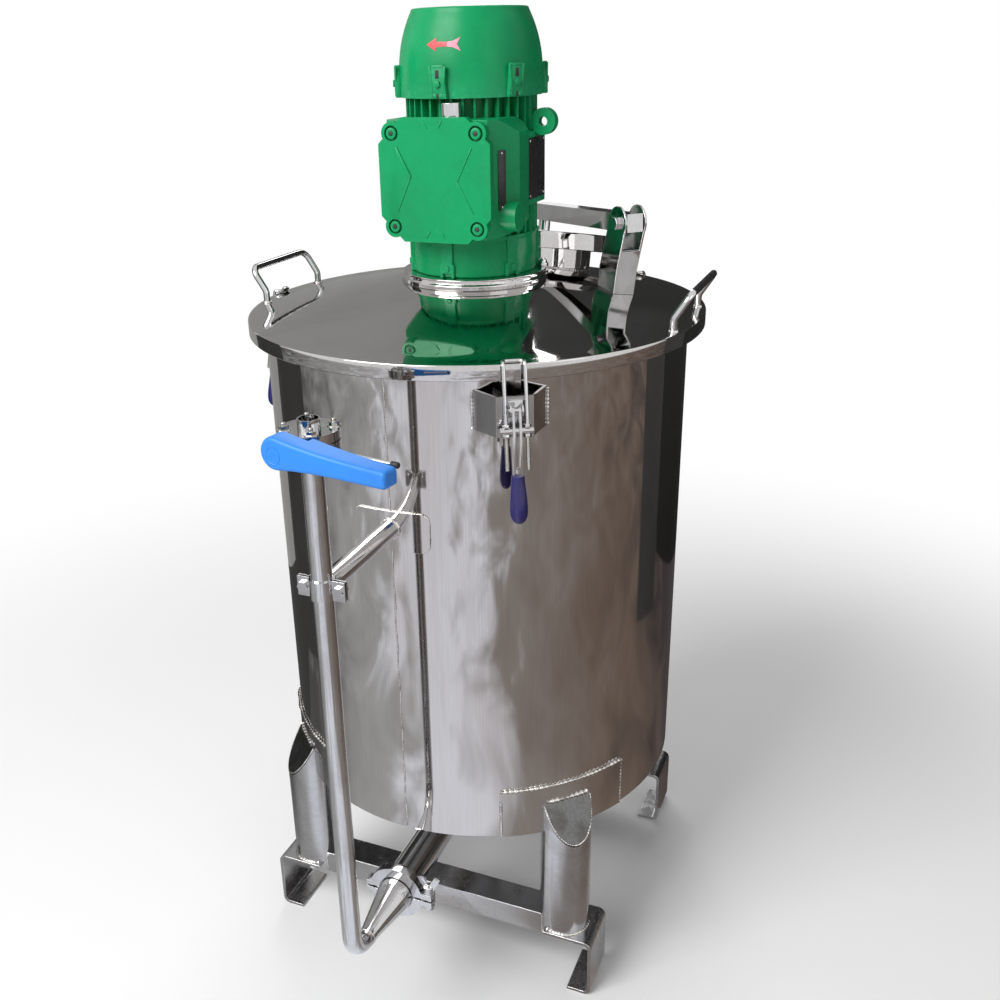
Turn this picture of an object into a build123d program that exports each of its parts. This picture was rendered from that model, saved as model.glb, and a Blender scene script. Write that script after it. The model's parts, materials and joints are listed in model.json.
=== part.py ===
from build123d import *
import os
from math import atan, atan2, cos, degrees, hypot, pi, radians, sin

# Stainless mixing tank with a flange-mounted motor, in millimetres.
# +Z is up, the floor is z = 0 and the tank's axis is x = y = 0.
# The riser, the seam and the terminal box are at the front, on -Y.

# Vessel
tank_radius = 300.0
tank_wall = 3.0
shell_bottom = 271.0
shell_height = 692.0
rim_ring_width = 19.5
rim_ring_thickness = 6.0
bottom_inset = 18.0
bottom_rise = 22.0
bottom_wall = 3.0

# Lid
lid_wall = 3.0
lid_skirt_gap = 0.6
lid_skirt_height = 19.6
lid_flat_width = 18.0
lid_cone_rise = 40.0
lid_shaft_hole = 40.0
handle_rod = 9.5
handle_length = 140.0
handle_height = 46.0
handle_lean = 22.0
handle_radius = 302.0
handle_bend = 14.0

# Motor and its steel seat
seat_radius = 104.0
seat_height = 14.0
flange_radius = 86.0
shield_height = 54.0
shield_boss_count = 6
shield_boss_width = 17.0
shield_boss_depth = 4.0
shield_boss_low = 6.0
frame_radius = 76.0
fin_height = 12.0
fin_thickness = 3.2
fin_count = 36
frame_height = 182.0
cowl_radius = 95.0
cowl_top_radius = 77.0
cowl_straight = 58.0
cowl_lug_angle = -32.5
cowl_height = 107.0
cowl_wall = 4.0
cowl_lug_count = 6
cowl_lug_width = 17.0
cowl_lug_height = 38.0
cowl_lug_depth = 6.0
cowl_hole_radius = 3.4
cowl_hole_rings = 5
cowl_hole_pitch = 11.0
box_width = 146.0
box_height = 146.0
box_front = 118.0
box_back = 20.0
box_centre_height = 1157.0
box_corner = 17.0
box_waist = 94.0
box_waist_front = 70.0
box_waist_back = 36.0
box_seat_width = 92.0
cover_size = 154.0
cover_thickness = 12.0
cover_corner = 32.0
cover_bolt_pitch = 116.0
cover_bolt_boss = 14.0
cover_bolt_seat = 9.5
cover_bolt_head = 7.0
cover_seat_depth = 7.0
plug_radius = 12.5
plug_height = 20.0
plug_x = 15.0
entry_radius = 19.0
entry_depth = 5.0
entry_y = -84.0
entry_drop = 47.0
eye_radius = 17.0
eye_hole = 6.0
eye_thickness = 14.0
eye_height = 1221.0

# Agitator
shaft_radius = 15.0
shaft_bottom = 400.0
hub_radius = 26.0
hub_height = 44.0
blade_radius = 105.0
blade_height = 40.0
blade_thickness = 5.0
blade_angle = 38.0
blade_count = 3

# Charge port
port_neck_radius = 76.2
port_wall = 2.5
port_distance = 197.0
port_angle = 81.0
port_neck_height = 49.0
port_flange_radius = 105.0
port_flange_thickness = 6.0
port_cover_radius = 112.0
port_cover_height = 25.0
port_cover_wall = 3.0
bracket_x = 198.0
bracket_y = 44.0
bracket_width = 33.0
bracket_plate = 3.0
pivot_reach = 18.0
pivot_height = 1090.0
pivot_radius = 5.0
pivot_ear_radius = 22.0
arm_width = 24.0
arm_depth = 24.0
arm_wall = 2.5
arm_tail = 19.0
arm_drop = 14.0
foot_radius = 9.0
stop_pin_radius = 3.0

# Legs, feet and rails
leg_radius = 36.5
leg_wall = 3.0
leg_offset = 212.0
leg_top_inner = 318.0
leg_lip_height = 258.0
leg_cap_thickness = 3.0
pad_angle = 37.0
pad_height = 77.0
pad_thickness = 3.0
foot_length = 79.0
foot_height = 98.0
foot_plate = 5.0
foot_web_offset = 265.0
foot_top_width = 74.0
foot_base_width = 34.0
foot_bend = 9.0
rail_width = 46.0
rail_depth = 37.5
rail_top = 115.0
rail_wall = 3.5

# Outlet, riser and valve
outlet_radius = 25.4
outlet_wall = 1.6
outlet_height = 190.0
outlet_elbow = 76.0
joint_y = -340.0
ferrule_radius = 32.0
ferrule_thickness = 3.2
clamp_radius = 41.0
clamp_width = 15.0
clamp_bore = 27.0
clamp_gap = 3.0
riser_radius = 12.7
riser_wall = 1.6
riser_bend = 38.0
riser_y = -476.0
valve_height = 929.0
valve_radius = 34.0
valve_half = 11.5
valve_groove = 1.5
valve_bore = 11.1
valve_stub = 11.0
valve_bolt_circle = 27.0
valve_bolt_radius = 4.0
valve_bolt_height = 5.0
spindle_angle = -100.0
spindle_radius = 5.0
spindle_clearance = 0.1
disc_clearance = 0.3
disc_thickness = 3.0
lever_front = 58.0
lever_thickness = 18.0
lever_tip_thickness = 13.0
lever_length = 152.0
lever_boss = 18.0
lever_tip_half = 8.3
trigger_radius = 2.8
trigger_offset = 35.0
trigger_lift = 4.0
trigger_start = 60.0
trigger_end = 158.0

# Riser stay
stay_height = 747.0
stay_radius = 12.7
stay_wall = 1.6
stay_pad_width = 108.0
stay_pad_height = 66.0
stay_pad_corner = 12.0
stay_pad_thickness = 2.5
clip_wall = 2.5
clip_height = 25.0
clip_reach = 31.0
clip_gap = 2.0
clip_bolt_radius = 4.0

# Latches
latch_angles = {"right": -60.0, "left": 180.0, "rear": 60.0}
latch_bottom = 886.0
latch_height = 50.0
latch_half_base = 47.0
latch_half_front = 22.6
latch_front = 333.0
latch_plate = 3.0
keeper_half = 8.4
keeper_low = 906.0
keeper_high = 932.0
keeper_plate = 3.0
ear_inner = 6.0
ear_outer = 8.2
ear_radius = 7.5
hinge_out = 8.0
hinge_height = 921.0
hinge_pin = 2.5
bar_inner = 2.6
bar_outer = 5.4
bar_half = 4.0
throw_out = 3.0
throw_down = 24.0
trunnion_radius = 4.0
trunnion_half = 20.0
rod_spacing = 12.8
rod_radius = 2.4
rod_end = 851.0
hook_radius_at = 318.5
hook_clearance = 0.3
grip_top = 849.0
grip_length = 60.0
grip_neck = 8.0
grip_bulge = 11.0
nut_radius = 4.8
nut_height = 4.5
run_clearance = 0.2

# Places worked out from the sizes above
shell_top = shell_bottom + shell_height
ring_top = shell_top + rim_ring_thickness
lid_edge = tank_radius + rim_ring_width + lid_skirt_gap + lid_wall
lid_top = ring_top + lid_wall
cone_start = lid_edge - lid_flat_width
cone_top = lid_top + lid_cone_rise
cone_slope = lid_cone_rise / (cone_start - seat_radius)
seat_top = cone_top + seat_height
frame_bottom = seat_top + shield_height
frame_top = frame_bottom + frame_height
cowl_bottom = frame_top - 8.0
cowl_top = cowl_bottom + cowl_height
fin_tip_radius = frame_radius + fin_height
box_low = box_centre_height - box_height / 2


def lid_height(radius):
    """Height of the lid's upper surface at a distance from the axis."""
    return cone_top - (radius - seat_radius) * cone_slope


def radial_plane(angle):
    """Upright plane through the axis: local x points outwards, local y points up."""
    across = (sin(radians(angle)), -cos(radians(angle)), 0)
    return Plane(origin=(0, 0, 0), x_dir=(cos(radians(angle)), sin(radians(angle)), 0), z_dir=across)


def finish(part, name):
    """Label a finished piece and write it to its own file."""
    part.label = name
    export_step(part, f"parts/{name}.step")


os.makedirs("parts", exist_ok=True)

# Shell: a rolled and welded cylinder
with BuildPart() as shell:
    with BuildSketch(Plane.XY.offset(shell_bottom)):
        Circle(tank_radius)
        Circle(tank_radius - tank_wall, mode=Mode.SUBTRACT)
    extrude(amount=shell_height)
finish(shell.part, "shell")

# Flat ring on the shell's top edge, where the lid seats
with BuildPart() as tank_rim:
    with BuildSketch(Plane.XY.offset(shell_top)):
        Circle(tank_radius + rim_ring_width)
        Circle(tank_radius - tank_wall, mode=Mode.SUBTRACT)
    extrude(amount=rim_ring_thickness)
finish(tank_rim.part, "tank_rim")

# Bottom: a shallow cone that drains to its centre
bottom_edge = shell_bottom + bottom_inset + bottom_rise
bottom_low = shell_bottom + bottom_inset
with BuildPart() as bottom:
    with BuildSketch(Plane.XZ):
        with BuildLine():
            Polyline(
                (outlet_radius - outlet_wall, bottom_low),
                (tank_radius - tank_wall, bottom_edge),
                (tank_radius - tank_wall, bottom_edge + bottom_wall),
                (outlet_radius - outlet_wall, bottom_low + bottom_wall),
                close=True,
            )
        make_face()
    revolve(axis=Axis.Z)
finish(bottom.part, "bottom")

# Lid: a shallow cone with a turned-down skirt, cut for the shaft and the port
port_direction = (cos(radians(port_angle)), sin(radians(port_angle)))
port_lean = degrees(atan(cone_slope))
port_normal = Vector(
    sin(radians(port_lean)) * port_direction[0],
    sin(radians(port_lean)) * port_direction[1],
    cos(radians(port_lean)),
)
port_foot = Vector(
    port_distance * port_direction[0],
    port_distance * port_direction[1],
    lid_height(port_distance),
)
port_plane = Plane(origin=port_foot, x_dir=(port_direction[1], -port_direction[0], 0), z_dir=port_normal)
with BuildPart() as lid:
    with BuildSketch(Plane.XZ):
        with BuildLine():
            Polyline(
                (lid_shaft_hole, cone_top),
                (seat_radius, cone_top),
                (cone_start, lid_top),
                (lid_edge, lid_top),
                (lid_edge, lid_top - lid_skirt_height),
                (lid_edge - lid_wall, lid_top - lid_skirt_height),
                (lid_edge - lid_wall, ring_top),
                (cone_start, ring_top),
                (seat_radius, cone_top - lid_wall),
                (lid_shaft_hole, cone_top - lid_wall),
                close=True,
            )
        make_face()
    revolve(axis=Axis.Z)
    with BuildSketch(port_plane.offset(-4 * lid_wall)):
        Circle(port_neck_radius - port_wall)
    extrude(amount=8 * lid_wall, mode=Mode.SUBTRACT)
finish(lid.part, "lid")

# What lies under the lid's upper surface, used to cut feet to its slope
with BuildPart() as under_lid:
    with BuildSketch(Plane.XZ):
        with BuildLine():
            Polyline(
                (0, shell_top),
                (0, cone_top),
                (seat_radius, cone_top),
                (cone_start, lid_top),
                (2 * lid_edge, lid_top),
                (2 * lid_edge, shell_top),
                close=True,
            )
        make_face()
    revolve(axis=Axis.Z)

# Two bent-rod handles at the lid's edge, leaning outwards
for handle_name, side in {"lid_handle_left": -1, "lid_handle_right": 1}.items():
    foot_z = lid_height(handle_radius) - lid_wall
    grip_z = lid_height(handle_radius) + handle_height
    half = handle_length / 2
    knee_z = lid_height(handle_radius) + handle_height * 0.35
    with BuildPart() as handle:
        with BuildLine() as handle_path:
            FilletPolyline(
                (side * handle_radius, -half, foot_z),
                (side * handle_radius, -half, knee_z),
                (side * (handle_radius + handle_lean), -half, grip_z),
                (side * (handle_radius + handle_lean), half, grip_z),
                (side * handle_radius, half, knee_z),
                (side * handle_radius, half, foot_z),
                radius=handle_bend,
            )
        with BuildSketch(Plane.XY.offset(foot_z)):
            with Locations((side * handle_radius, -half)):
                Circle(handle_rod / 2)
        sweep(path=handle_path.wires()[0])
        add(under_lid.part, mode=Mode.SUBTRACT)
    finish(handle.part, handle_name)

# Steel ring that carries the motor
with BuildPart() as motor_seat:
    with BuildSketch(Plane.XZ):
        with BuildLine():
            Polyline(
                (lid_shaft_hole, cone_top),
                (seat_radius, cone_top),
                (seat_radius, cone_top + 0.45 * seat_height),
                (seat_radius - 3, cone_top + 0.6 * seat_height),
                (seat_radius - 3, seat_top),
                (lid_shaft_hole, seat_top),
                close=True,
            )
        make_face()
    revolve(axis=Axis.Z)
finish(motor_seat.part, "motor_seat")

# Drive-end shield: a round casting with six bolt bosses and the agitator shaft's hole
with BuildPart() as motor_flange:
    with BuildSketch(Plane.XZ):
        with BuildLine():
            Polyline(
                (shaft_radius + 1, seat_top),
                (flange_radius - 2, seat_top),
                (flange_radius, seat_top + 2),
                (flange_radius, frame_bottom - 6),
                (fin_tip_radius, frame_bottom - 4),
                (fin_tip_radius, frame_bottom),
                (shaft_radius + 1, frame_bottom),
                close=True,
            )
        make_face()
    revolve(axis=Axis.Z)
    with BuildSketch(Plane.XY.offset(seat_top + shield_boss_low)):
        with PolarLocations(0, shield_boss_count, start_angle=cowl_lug_angle):
            with Locations((flange_radius + shield_boss_depth / 2 - 1, 0)):
                Rectangle(shield_boss_depth + 2, shield_boss_width)
    extrude(amount=shield_height - shield_boss_low)
finish(motor_flange.part, "motor_flange")

# Finned motor frame
with BuildPart() as motor_frame:
    with BuildSketch(Plane.XY.offset(frame_bottom)):
        Circle(frame_radius)
        with PolarLocations(0, fin_count, start_angle=180 / fin_count):
            with Locations((frame_radius + fin_height / 2 - 1, 0)):
                Rectangle(fin_height + 2, fin_thickness)
        Circle(fin_tip_radius, mode=Mode.INTERSECT)
    extrude(amount=frame_height)
    with BuildSketch(Plane.XY.offset(box_low)):
        with Locations((0, -fin_tip_radius / 2)):
            Rectangle(box_seat_width, fin_tip_radius)
    extrude(amount=box_height)
    with BuildSketch(Plane.XY.offset(cowl_bottom)):
        Circle(cowl_radius - cowl_wall)
    extrude(amount=frame_top - cowl_bottom)
finish(motor_frame.part, "motor_frame")

# Fan cowl: a turned cover with fixing lugs and an air inlet of holes
with BuildPart() as fan_cowl:
    with BuildSketch(Plane.XZ):
        with BuildLine():
            l1 = Polyline(
                (0, cowl_top),
                (cowl_top_radius - 4, cowl_top),
                (cowl_top_radius, cowl_top - 3),
            )
            l2 = Spline(
                l1 @ 1,
                (cowl_radius - 8, cowl_bottom + cowl_straight + 27),
                (cowl_radius - 2.8, cowl_bottom + cowl_straight + 15),
                (cowl_radius, cowl_bottom + cowl_straight),
            )
            l3 = Polyline(
                l2 @ 1,
                (cowl_radius, cowl_bottom),
                (cowl_radius - cowl_wall, cowl_bottom),
                (cowl_radius - cowl_wall, cowl_bottom + cowl_straight),
                (cowl_radius - 8 - cowl_wall, cowl_bottom + cowl_straight + 24),
                (cowl_top_radius - 4 - cowl_wall, cowl_top - cowl_wall),
                (0, cowl_top - cowl_wall),
                l1 @ 0,
            )
        make_face()
    revolve(axis=Axis.Z)
    with BuildSketch(Plane.XY.offset(cowl_bottom)):
        with PolarLocations(0, cowl_lug_count, start_angle=cowl_lug_angle):
            with Locations((cowl_radius + cowl_lug_depth / 2 - 1, 0)):
                Rectangle(cowl_lug_depth + 2, cowl_lug_width)
    extrude(amount=cowl_lug_height)
    with BuildSketch(Plane.XY.offset(cowl_top - 2 * cowl_wall)):
        for ring in range(1, cowl_hole_rings + 1):
            with PolarLocations(ring * cowl_hole_pitch, 6 * ring):
                Circle(cowl_hole_radius)
    extrude(amount=3 * cowl_wall, mode=Mode.SUBTRACT)
finish(fan_cowl.part, "fan_cowl")

# Terminal box on the front of the frame, with its entry boss
with BuildPart() as terminal_box:
    with BuildSketch(Plane.XY.offset(box_low)):
        with BuildLine():
            Polyline(
                (-box_width / 2 + 4, -box_front),
                (box_width / 2 - 4, -box_front),
                (box_width / 2 + 2, -box_front + 12),
                (box_waist, -box_waist_front),
                (box_waist, -box_waist_back),
                (box_width / 2, -box_back),
                (-box_width / 2, -box_back),
                (-box_waist, -box_waist_back),
                (-box_waist, -box_waist_front),
                (-box_width / 2 - 2, -box_front + 12),
                close=True,
            )
        make_face()
    extrude(amount=box_height)
    with BuildSketch(Plane.XZ.offset(box_back - 1)):
        with Locations((0, box_centre_height)):
            Rectangle(2 * box_waist, box_height)
        chamfer(vertices(), length=box_corner)
    extrude(amount=box_front - box_back + 2, mode=Mode.INTERSECT)
    with BuildSketch(Plane.YZ.offset(box_width / 2)):
        with Locations((entry_y, box_centre_height - entry_drop)):
            Circle(entry_radius)
    extrude(amount=box_waist - box_width / 2 + entry_depth)
    with BuildSketch(Plane.XY.offset(frame_bottom)):
        Circle(fin_tip_radius)
        with Locations((0, -fin_tip_radius / 2)):
            Rectangle(box_seat_width, fin_tip_radius)
    extrude(amount=frame_height, mode=Mode.SUBTRACT)
finish(terminal_box.part, "terminal_box")

# Terminal box cover with four corner ears for its bolts
with BuildPart() as box_cover:
    with BuildSketch(Plane.XZ.offset(box_front)):
        with Locations((0, box_centre_height)):
            Rectangle(cover_size, cover_size)
        chamfer(vertices(), length=cover_corner)
        with Locations((0, box_centre_height)):
            with GridLocations(cover_bolt_pitch, cover_bolt_pitch, 2, 2):
                Circle(cover_bolt_boss)
    extrude(amount=cover_thickness)
    with BuildSketch(Plane.XZ.offset(box_front + cover_thickness - cover_seat_depth)):
        with Locations((0, box_centre_height)):
            with GridLocations(cover_bolt_pitch, cover_bolt_pitch, 2, 2):
                Circle(cover_bolt_seat)
                Circle(cover_bolt_head, mode=Mode.SUBTRACT)
    extrude(amount=cover_seat_depth, mode=Mode.SUBTRACT)
finish(box_cover.part, "box_cover")

# Steel plug on top of the terminal box
with BuildPart() as box_plug:
    with BuildSketch(Plane.XY.offset(box_centre_height + box_height / 2)):
        with Locations((plug_x, -(box_front - plug_radius - 2))):
            Circle(plug_radius)
    extrude(amount=plug_height)
finish(box_plug.part, "box_plug")

# Lifting eye on the frame's right side
with BuildPart() as lifting_eye:
    eye_x = fin_tip_radius + eye_radius - 2
    with BuildSketch(Plane.XZ.offset(-eye_thickness / 2)):
        with Locations((eye_x, eye_height)):
            Circle(eye_radius)
        with Locations(((eye_x + frame_radius) / 2, eye_height)):
            Rectangle(eye_x - frame_radius, eye_radius)
        with Locations((eye_x, eye_height)):
            Circle(eye_hole, mode=Mode.SUBTRACT)
    extrude(amount=eye_thickness)
    with BuildSketch(Plane.XY.offset(frame_bottom)):
        Circle(fin_tip_radius)
    extrude(amount=frame_height, mode=Mode.SUBTRACT)
finish(lifting_eye.part, "lifting_eye")

# Agitator: shaft and three pitched blades, inside the closed vessel
with BuildPart() as agitator_shaft:
    with BuildSketch(Plane.XY.offset(shaft_bottom)):
        Circle(shaft_radius)
    extrude(amount=frame_bottom - shaft_bottom)
finish(agitator_shaft.part, "agitator_shaft")

with BuildPart() as impeller:
    with BuildSketch(Plane.XY.offset(shaft_bottom)):
        Circle(hub_radius)
    extrude(amount=hub_height)
    for k in range(blade_count):
        blade_turn = 360 / blade_count * k
        blade_axis = Vector(cos(radians(blade_turn)), sin(radians(blade_turn)), 0)
        middle = Vector(0, 0, shaft_bottom + hub_height / 2) + blade_axis * (hub_radius - 4)
        tilt = radians(blade_angle)
        side_dir = Vector(-blade_axis.Y * cos(tilt), blade_axis.X * cos(tilt), sin(tilt))
        with BuildSketch(Plane(origin=middle, x_dir=side_dir, z_dir=blade_axis)):
            Rectangle(blade_height, blade_thickness)
        extrude(amount=blade_radius - hub_radius + 4)
    with BuildSketch(Plane.XY.offset(shaft_bottom)):
        Circle(shaft_radius)
    extrude(amount=hub_height, mode=Mode.SUBTRACT)
finish(impeller.part, "impeller")

# Charge port neck, square to the lid's slope, with its seat flange
with BuildPart() as port_neck:
    with BuildSketch(port_plane.offset(-4 * lid_wall)):
        Circle(port_neck_radius)
    extrude(amount=port_neck_height + 4 * lid_wall)
    with BuildSketch(port_plane.offset(port_neck_height - port_flange_thickness)):
        Circle(port_flange_radius)
    extrude(amount=port_flange_thickness)
    with BuildSketch(port_plane.offset(-8 * lid_wall)):
        Circle(port_neck_radius - port_wall)
    extrude(amount=port_neck_height + 16 * lid_wall, mode=Mode.SUBTRACT)
    add(under_lid.part, mode=Mode.SUBTRACT)
finish(port_neck.part, "port_neck")

# Loose cover with a deep skirt around the port's flange
cover_seat = port_plane.offset(port_neck_height)
with BuildPart() as port_cover:
    with BuildSketch(cover_seat):
        Circle(port_cover_radius)
    extrude(amount=port_cover_wall)
    with BuildSketch(port_plane.offset(port_neck_height + port_cover_wall - port_cover_height)):
        Circle(port_cover_radius)
        Circle(port_cover_radius - port_cover_wall, mode=Mode.SUBTRACT)
    extrude(amount=port_cover_height)
finish(port_cover.part, "port_cover")

# Hinge bracket for the arm that holds the cover down
cover_middle = port_foot + port_normal * (port_neck_height + port_cover_wall)
arm_run = hypot(bracket_x - cover_middle.X, bracket_y - cover_middle.Y)
arm_dir = Vector((bracket_x - cover_middle.X) / arm_run, (bracket_y - cover_middle.Y) / arm_run, 0)
hinge_plane = Plane(
    origin=(bracket_x, bracket_y, 0), x_dir=arm_dir, z_dir=(arm_dir.Y, -arm_dir.X, 0)
)
bracket_foot_z = lid_height(hypot(bracket_x, bracket_y)) - 22
kink_z = pivot_height - 64
with BuildPart() as port_bracket:
    with BuildSketch(hinge_plane.offset(-bracket_width / 2)):
        with BuildLine():
            Polyline(
                (-33, bracket_foot_z),
                (9, bracket_foot_z),
                (20, kink_z),
                (pivot_reach + pivot_ear_radius, pivot_height),
                (pivot_reach - pivot_ear_radius, pivot_height),
                (-27, kink_z),
                close=True,
            )
        make_face()
        with Locations((pivot_reach, pivot_height)):
            Circle(pivot_ear_radius)
    extrude(amount=bracket_width)
    with BuildSketch(hinge_plane.offset(-bracket_width / 2 + bracket_plate)):
        with BuildLine():
            Polyline(
                (-60, bracket_foot_z),
                (9 - bracket_plate, bracket_foot_z),
                (20 - bracket_plate, kink_z),
                (29 - bracket_plate, kink_z + 26),
                (90, kink_z + 26),
                (90, pivot_height + 60),
                (-60, pivot_height + 60),
                close=True,
            )
        make_face()
    extrude(amount=bracket_width - 2 * bracket_plate, mode=Mode.SUBTRACT)
    with BuildSketch(hinge_plane.offset(-bracket_width / 2)):
        with Locations((pivot_reach, pivot_height)):
            Circle(pivot_radius)
    extrude(amount=bracket_width, mode=Mode.SUBTRACT)
    with BuildSketch(hinge_plane.offset(-bracket_width / 2)):
        with Locations((4, kink_z + 22)):
            Circle(stop_pin_radius)
    extrude(amount=bracket_width)
    add(under_lid.part, mode=Mode.SUBTRACT)
finish(port_bracket.part, "port_bracket")

# Pivot bolt through the bracket's ears
with BuildPart() as port_pivot:
    with BuildSketch(hinge_plane.offset(-bracket_width / 2)):
        with Locations((pivot_reach, pivot_height)):
            Circle(pivot_radius)
    extrude(amount=bracket_width)
    for start in (-bracket_width / 2 - 6, bracket_width / 2):
        with BuildSketch(hinge_plane.offset(start)):
            with Locations((pivot_reach, pivot_height)):
                RegularPolygon(radius=9, side_count=6)
        extrude(amount=6)
finish(port_pivot.part, "port_pivot")

# Channel arm with its pressing foot
arm_angle = degrees(atan2(arm_drop, arm_run + pivot_reach))
with BuildPart() as port_arm:
    with BuildSketch(hinge_plane.offset(-arm_width / 2)) as arm_side:
        with Locations(Location((pivot_reach, pivot_height), arm_angle)):
            with Locations((-(arm_run + pivot_reach + 12) / 2, 0)):
                Rectangle(arm_run + pivot_reach + 12, arm_depth)
            Circle(arm_depth / 2)
            with Locations((arm_tail / 2, 0)):
                Rectangle(arm_tail, arm_depth)
    extrude(amount=arm_width)
    with BuildSketch(hinge_plane.offset(-arm_width / 2 + arm_wall)):
        with Locations(Location((pivot_reach, pivot_height), arm_angle)):
            with Locations((-(arm_run + pivot_reach) / 2 - 20, -arm_wall)):
                Rectangle(arm_run + pivot_reach + 8, arm_depth)
    extrude(amount=arm_width - 2 * arm_wall, mode=Mode.SUBTRACT)
    with BuildSketch(hinge_plane.offset(-arm_width / 2)):
        with Locations((pivot_reach, pivot_height)):
            Circle(pivot_radius + run_clearance)
    extrude(amount=arm_width, mode=Mode.SUBTRACT)
    foot_plane = Plane(origin=cover_middle, x_dir=port_plane.x_dir, z_dir=port_normal)
    with BuildSketch(foot_plane.offset(0.3)):
        Circle(foot_radius)
    extrude(amount=pivot_height - arm_drop + arm_depth / 2 - arm_wall - cover_middle.Z)
finish(port_arm.part, "port_arm")

# Four legs: upright tubes cut on a slant where they stand proud of the shell
cap_drop = leg_top_inner - leg_lip_height
leg_reach = hypot(leg_offset, leg_offset)
leg_out = leg_reach + leg_radius
cap_slope = cap_drop / (leg_out - tank_radius)
leg_names = {"front_right": -45.0, "rear_right": 45.0, "rear_left": 135.0, "front_left": -135.0}
cap_solids = []
pad_solids = []
for leg_name, angle in leg_names.items():
    plane = radial_plane(angle)
    with BuildPart() as leg:
        with BuildSketch(Plane.XY.offset(foot_height)):
            with Locations((leg_reach * cos(radians(angle)), leg_reach * sin(radians(angle)))):
                Circle(leg_radius)
                Circle(leg_radius - leg_wall, mode=Mode.SUBTRACT)
        extrude(amount=leg_top_inner + 40 - foot_height)
        for level in (foot_height, shell_bottom - leg_wall):
            with BuildSketch(Plane.XY.offset(level)):
                with Locations((leg_reach * cos(radians(angle)), leg_reach * sin(radians(angle)))):
                    Circle(leg_radius)
            extrude(amount=leg_wall)
        with BuildSketch(plane.offset(-leg_radius - 2)):
            with BuildLine():
                Polyline(
                    (tank_radius, leg_top_inner),
                    (leg_out + 10, leg_lip_height - 10 * cap_slope),
                    (leg_out + 10, leg_top_inner + 60),
                    (tank_radius - 80, leg_top_inner + 60),
                    (tank_radius - 80, leg_top_inner),
                    close=True,
                )
            make_face()
        extrude(amount=2 * leg_radius + 4, mode=Mode.SUBTRACT)
        with BuildSketch(Plane.XY.offset(shell_bottom)):
            Circle(tank_radius + pad_thickness)
        extrude(amount=200, mode=Mode.SUBTRACT)
    finish(leg.part, f"leg_{leg_name}")
    with BuildPart() as cap:
        with BuildSketch(plane.offset(-leg_radius)):
            with BuildLine():
                Polyline(
                    (tank_radius - 20, leg_top_inner + 20 * cap_slope),
                    (leg_out + 2, leg_lip_height - 2 * cap_slope),
                    (leg_out + 2, leg_lip_height - 2 * cap_slope + leg_cap_thickness / cos(atan(cap_slope))),
                    (tank_radius - 20, leg_top_inner + 20 * cap_slope + leg_cap_thickness / cos(atan(cap_slope))),
                    close=True,
                )
            make_face()
        extrude(amount=2 * leg_radius)
        with BuildSketch(Plane.XY.offset(leg_lip_height - 40)):
            with Locations((leg_reach * cos(radians(angle)), leg_reach * sin(radians(angle)))):
                Circle(leg_radius)
        extrude(amount=200, mode=Mode.INTERSECT)
        with BuildSketch(Plane.XY.offset(shell_bottom - 60)):
            Circle(tank_radius + pad_thickness)
        extrude(amount=300, mode=Mode.SUBTRACT)
    cap_solids.append(cap.part)
    with BuildPart() as pad:
        with BuildSketch(Plane.XY.offset(shell_bottom)):
            with BuildLine():
                CenterArc((0, 0), tank_radius, angle - pad_angle / 2, pad_angle)
                CenterArc((0, 0), tank_radius + pad_thickness, angle - pad_angle / 2, pad_angle)
                for end in (angle - pad_angle / 2, angle + pad_angle / 2):
                    Line(
                        (tank_radius * cos(radians(end)), tank_radius * sin(radians(end))),
                        (
                            (tank_radius + pad_thickness) * cos(radians(end)),
                            (tank_radius + pad_thickness) * sin(radians(end)),
                        ),
                    )
            make_face()
        extrude(amount=pad_height)
    pad_solids.append(pad.part)
finish(Compound(children=cap_solids), "leg_caps")
finish(Compound(children=pad_solids), "leg_pads")

# Four bent-plate feet: a wide top flange under the leg and a narrow base flange
for leg_name, angle in leg_names.items():
    side = 1 if cos(radians(angle)) > 0 else -1
    back = leg_offset if sin(radians(angle)) > 0 else -leg_offset
    with BuildPart() as foot:
        with BuildSketch(Plane.XZ.offset(-back - foot_length / 2)):
            with BuildLine():
                foot_line = FilletPolyline(
                    (side * (foot_web_offset - foot_base_width), foot_plate / 2),
                    (side * (foot_web_offset - foot_plate / 2), foot_plate / 2),
                    (side * (foot_web_offset - foot_plate / 2), foot_height - foot_plate / 2),
                    (side * (foot_web_offset - foot_top_width), foot_height - foot_plate / 2),
                    radius=foot_bend,
                )
                offset(foot_line, amount=foot_plate / 2, side=Side.BOTH)
            make_face()
        extrude(amount=foot_length)
    finish(foot.part, f"foot_{leg_name}")

# Front and rear rails: channels that open downwards, coped to the legs
for rail_name, back in {"front_rail": -leg_offset, "rear_rail": leg_offset}.items():
    with BuildPart() as rail:
        with BuildSketch(Plane.YZ.offset(-leg_offset)):
            with Locations((back, rail_top - rail_depth / 2)):
                Rectangle(rail_width, rail_depth)
            with Locations((back, rail_top - rail_depth / 2 - rail_wall)):
                Rectangle(rail_width - 2 * rail_wall, rail_depth, mode=Mode.SUBTRACT)
        extrude(amount=2 * leg_offset)
        with BuildSketch(Plane.XY.offset(rail_top - rail_depth - 10)):
            with Locations((-leg_offset, back), (leg_offset, back)):
                Circle(leg_radius)
        extrude(amount=rail_depth + 20, mode=Mode.SUBTRACT)
        with BuildSketch(Plane.XZ.offset(-back - foot_length)):
            for side in (-1, 1):
                with Locations((side * (foot_web_offset - foot_top_width / 2 + 10), 0)):
                    Rectangle(foot_top_width + 20, 2 * foot_height)
        extrude(amount=2 * foot_length, mode=Mode.SUBTRACT)
    finish(rail.part, rail_name)

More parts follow.
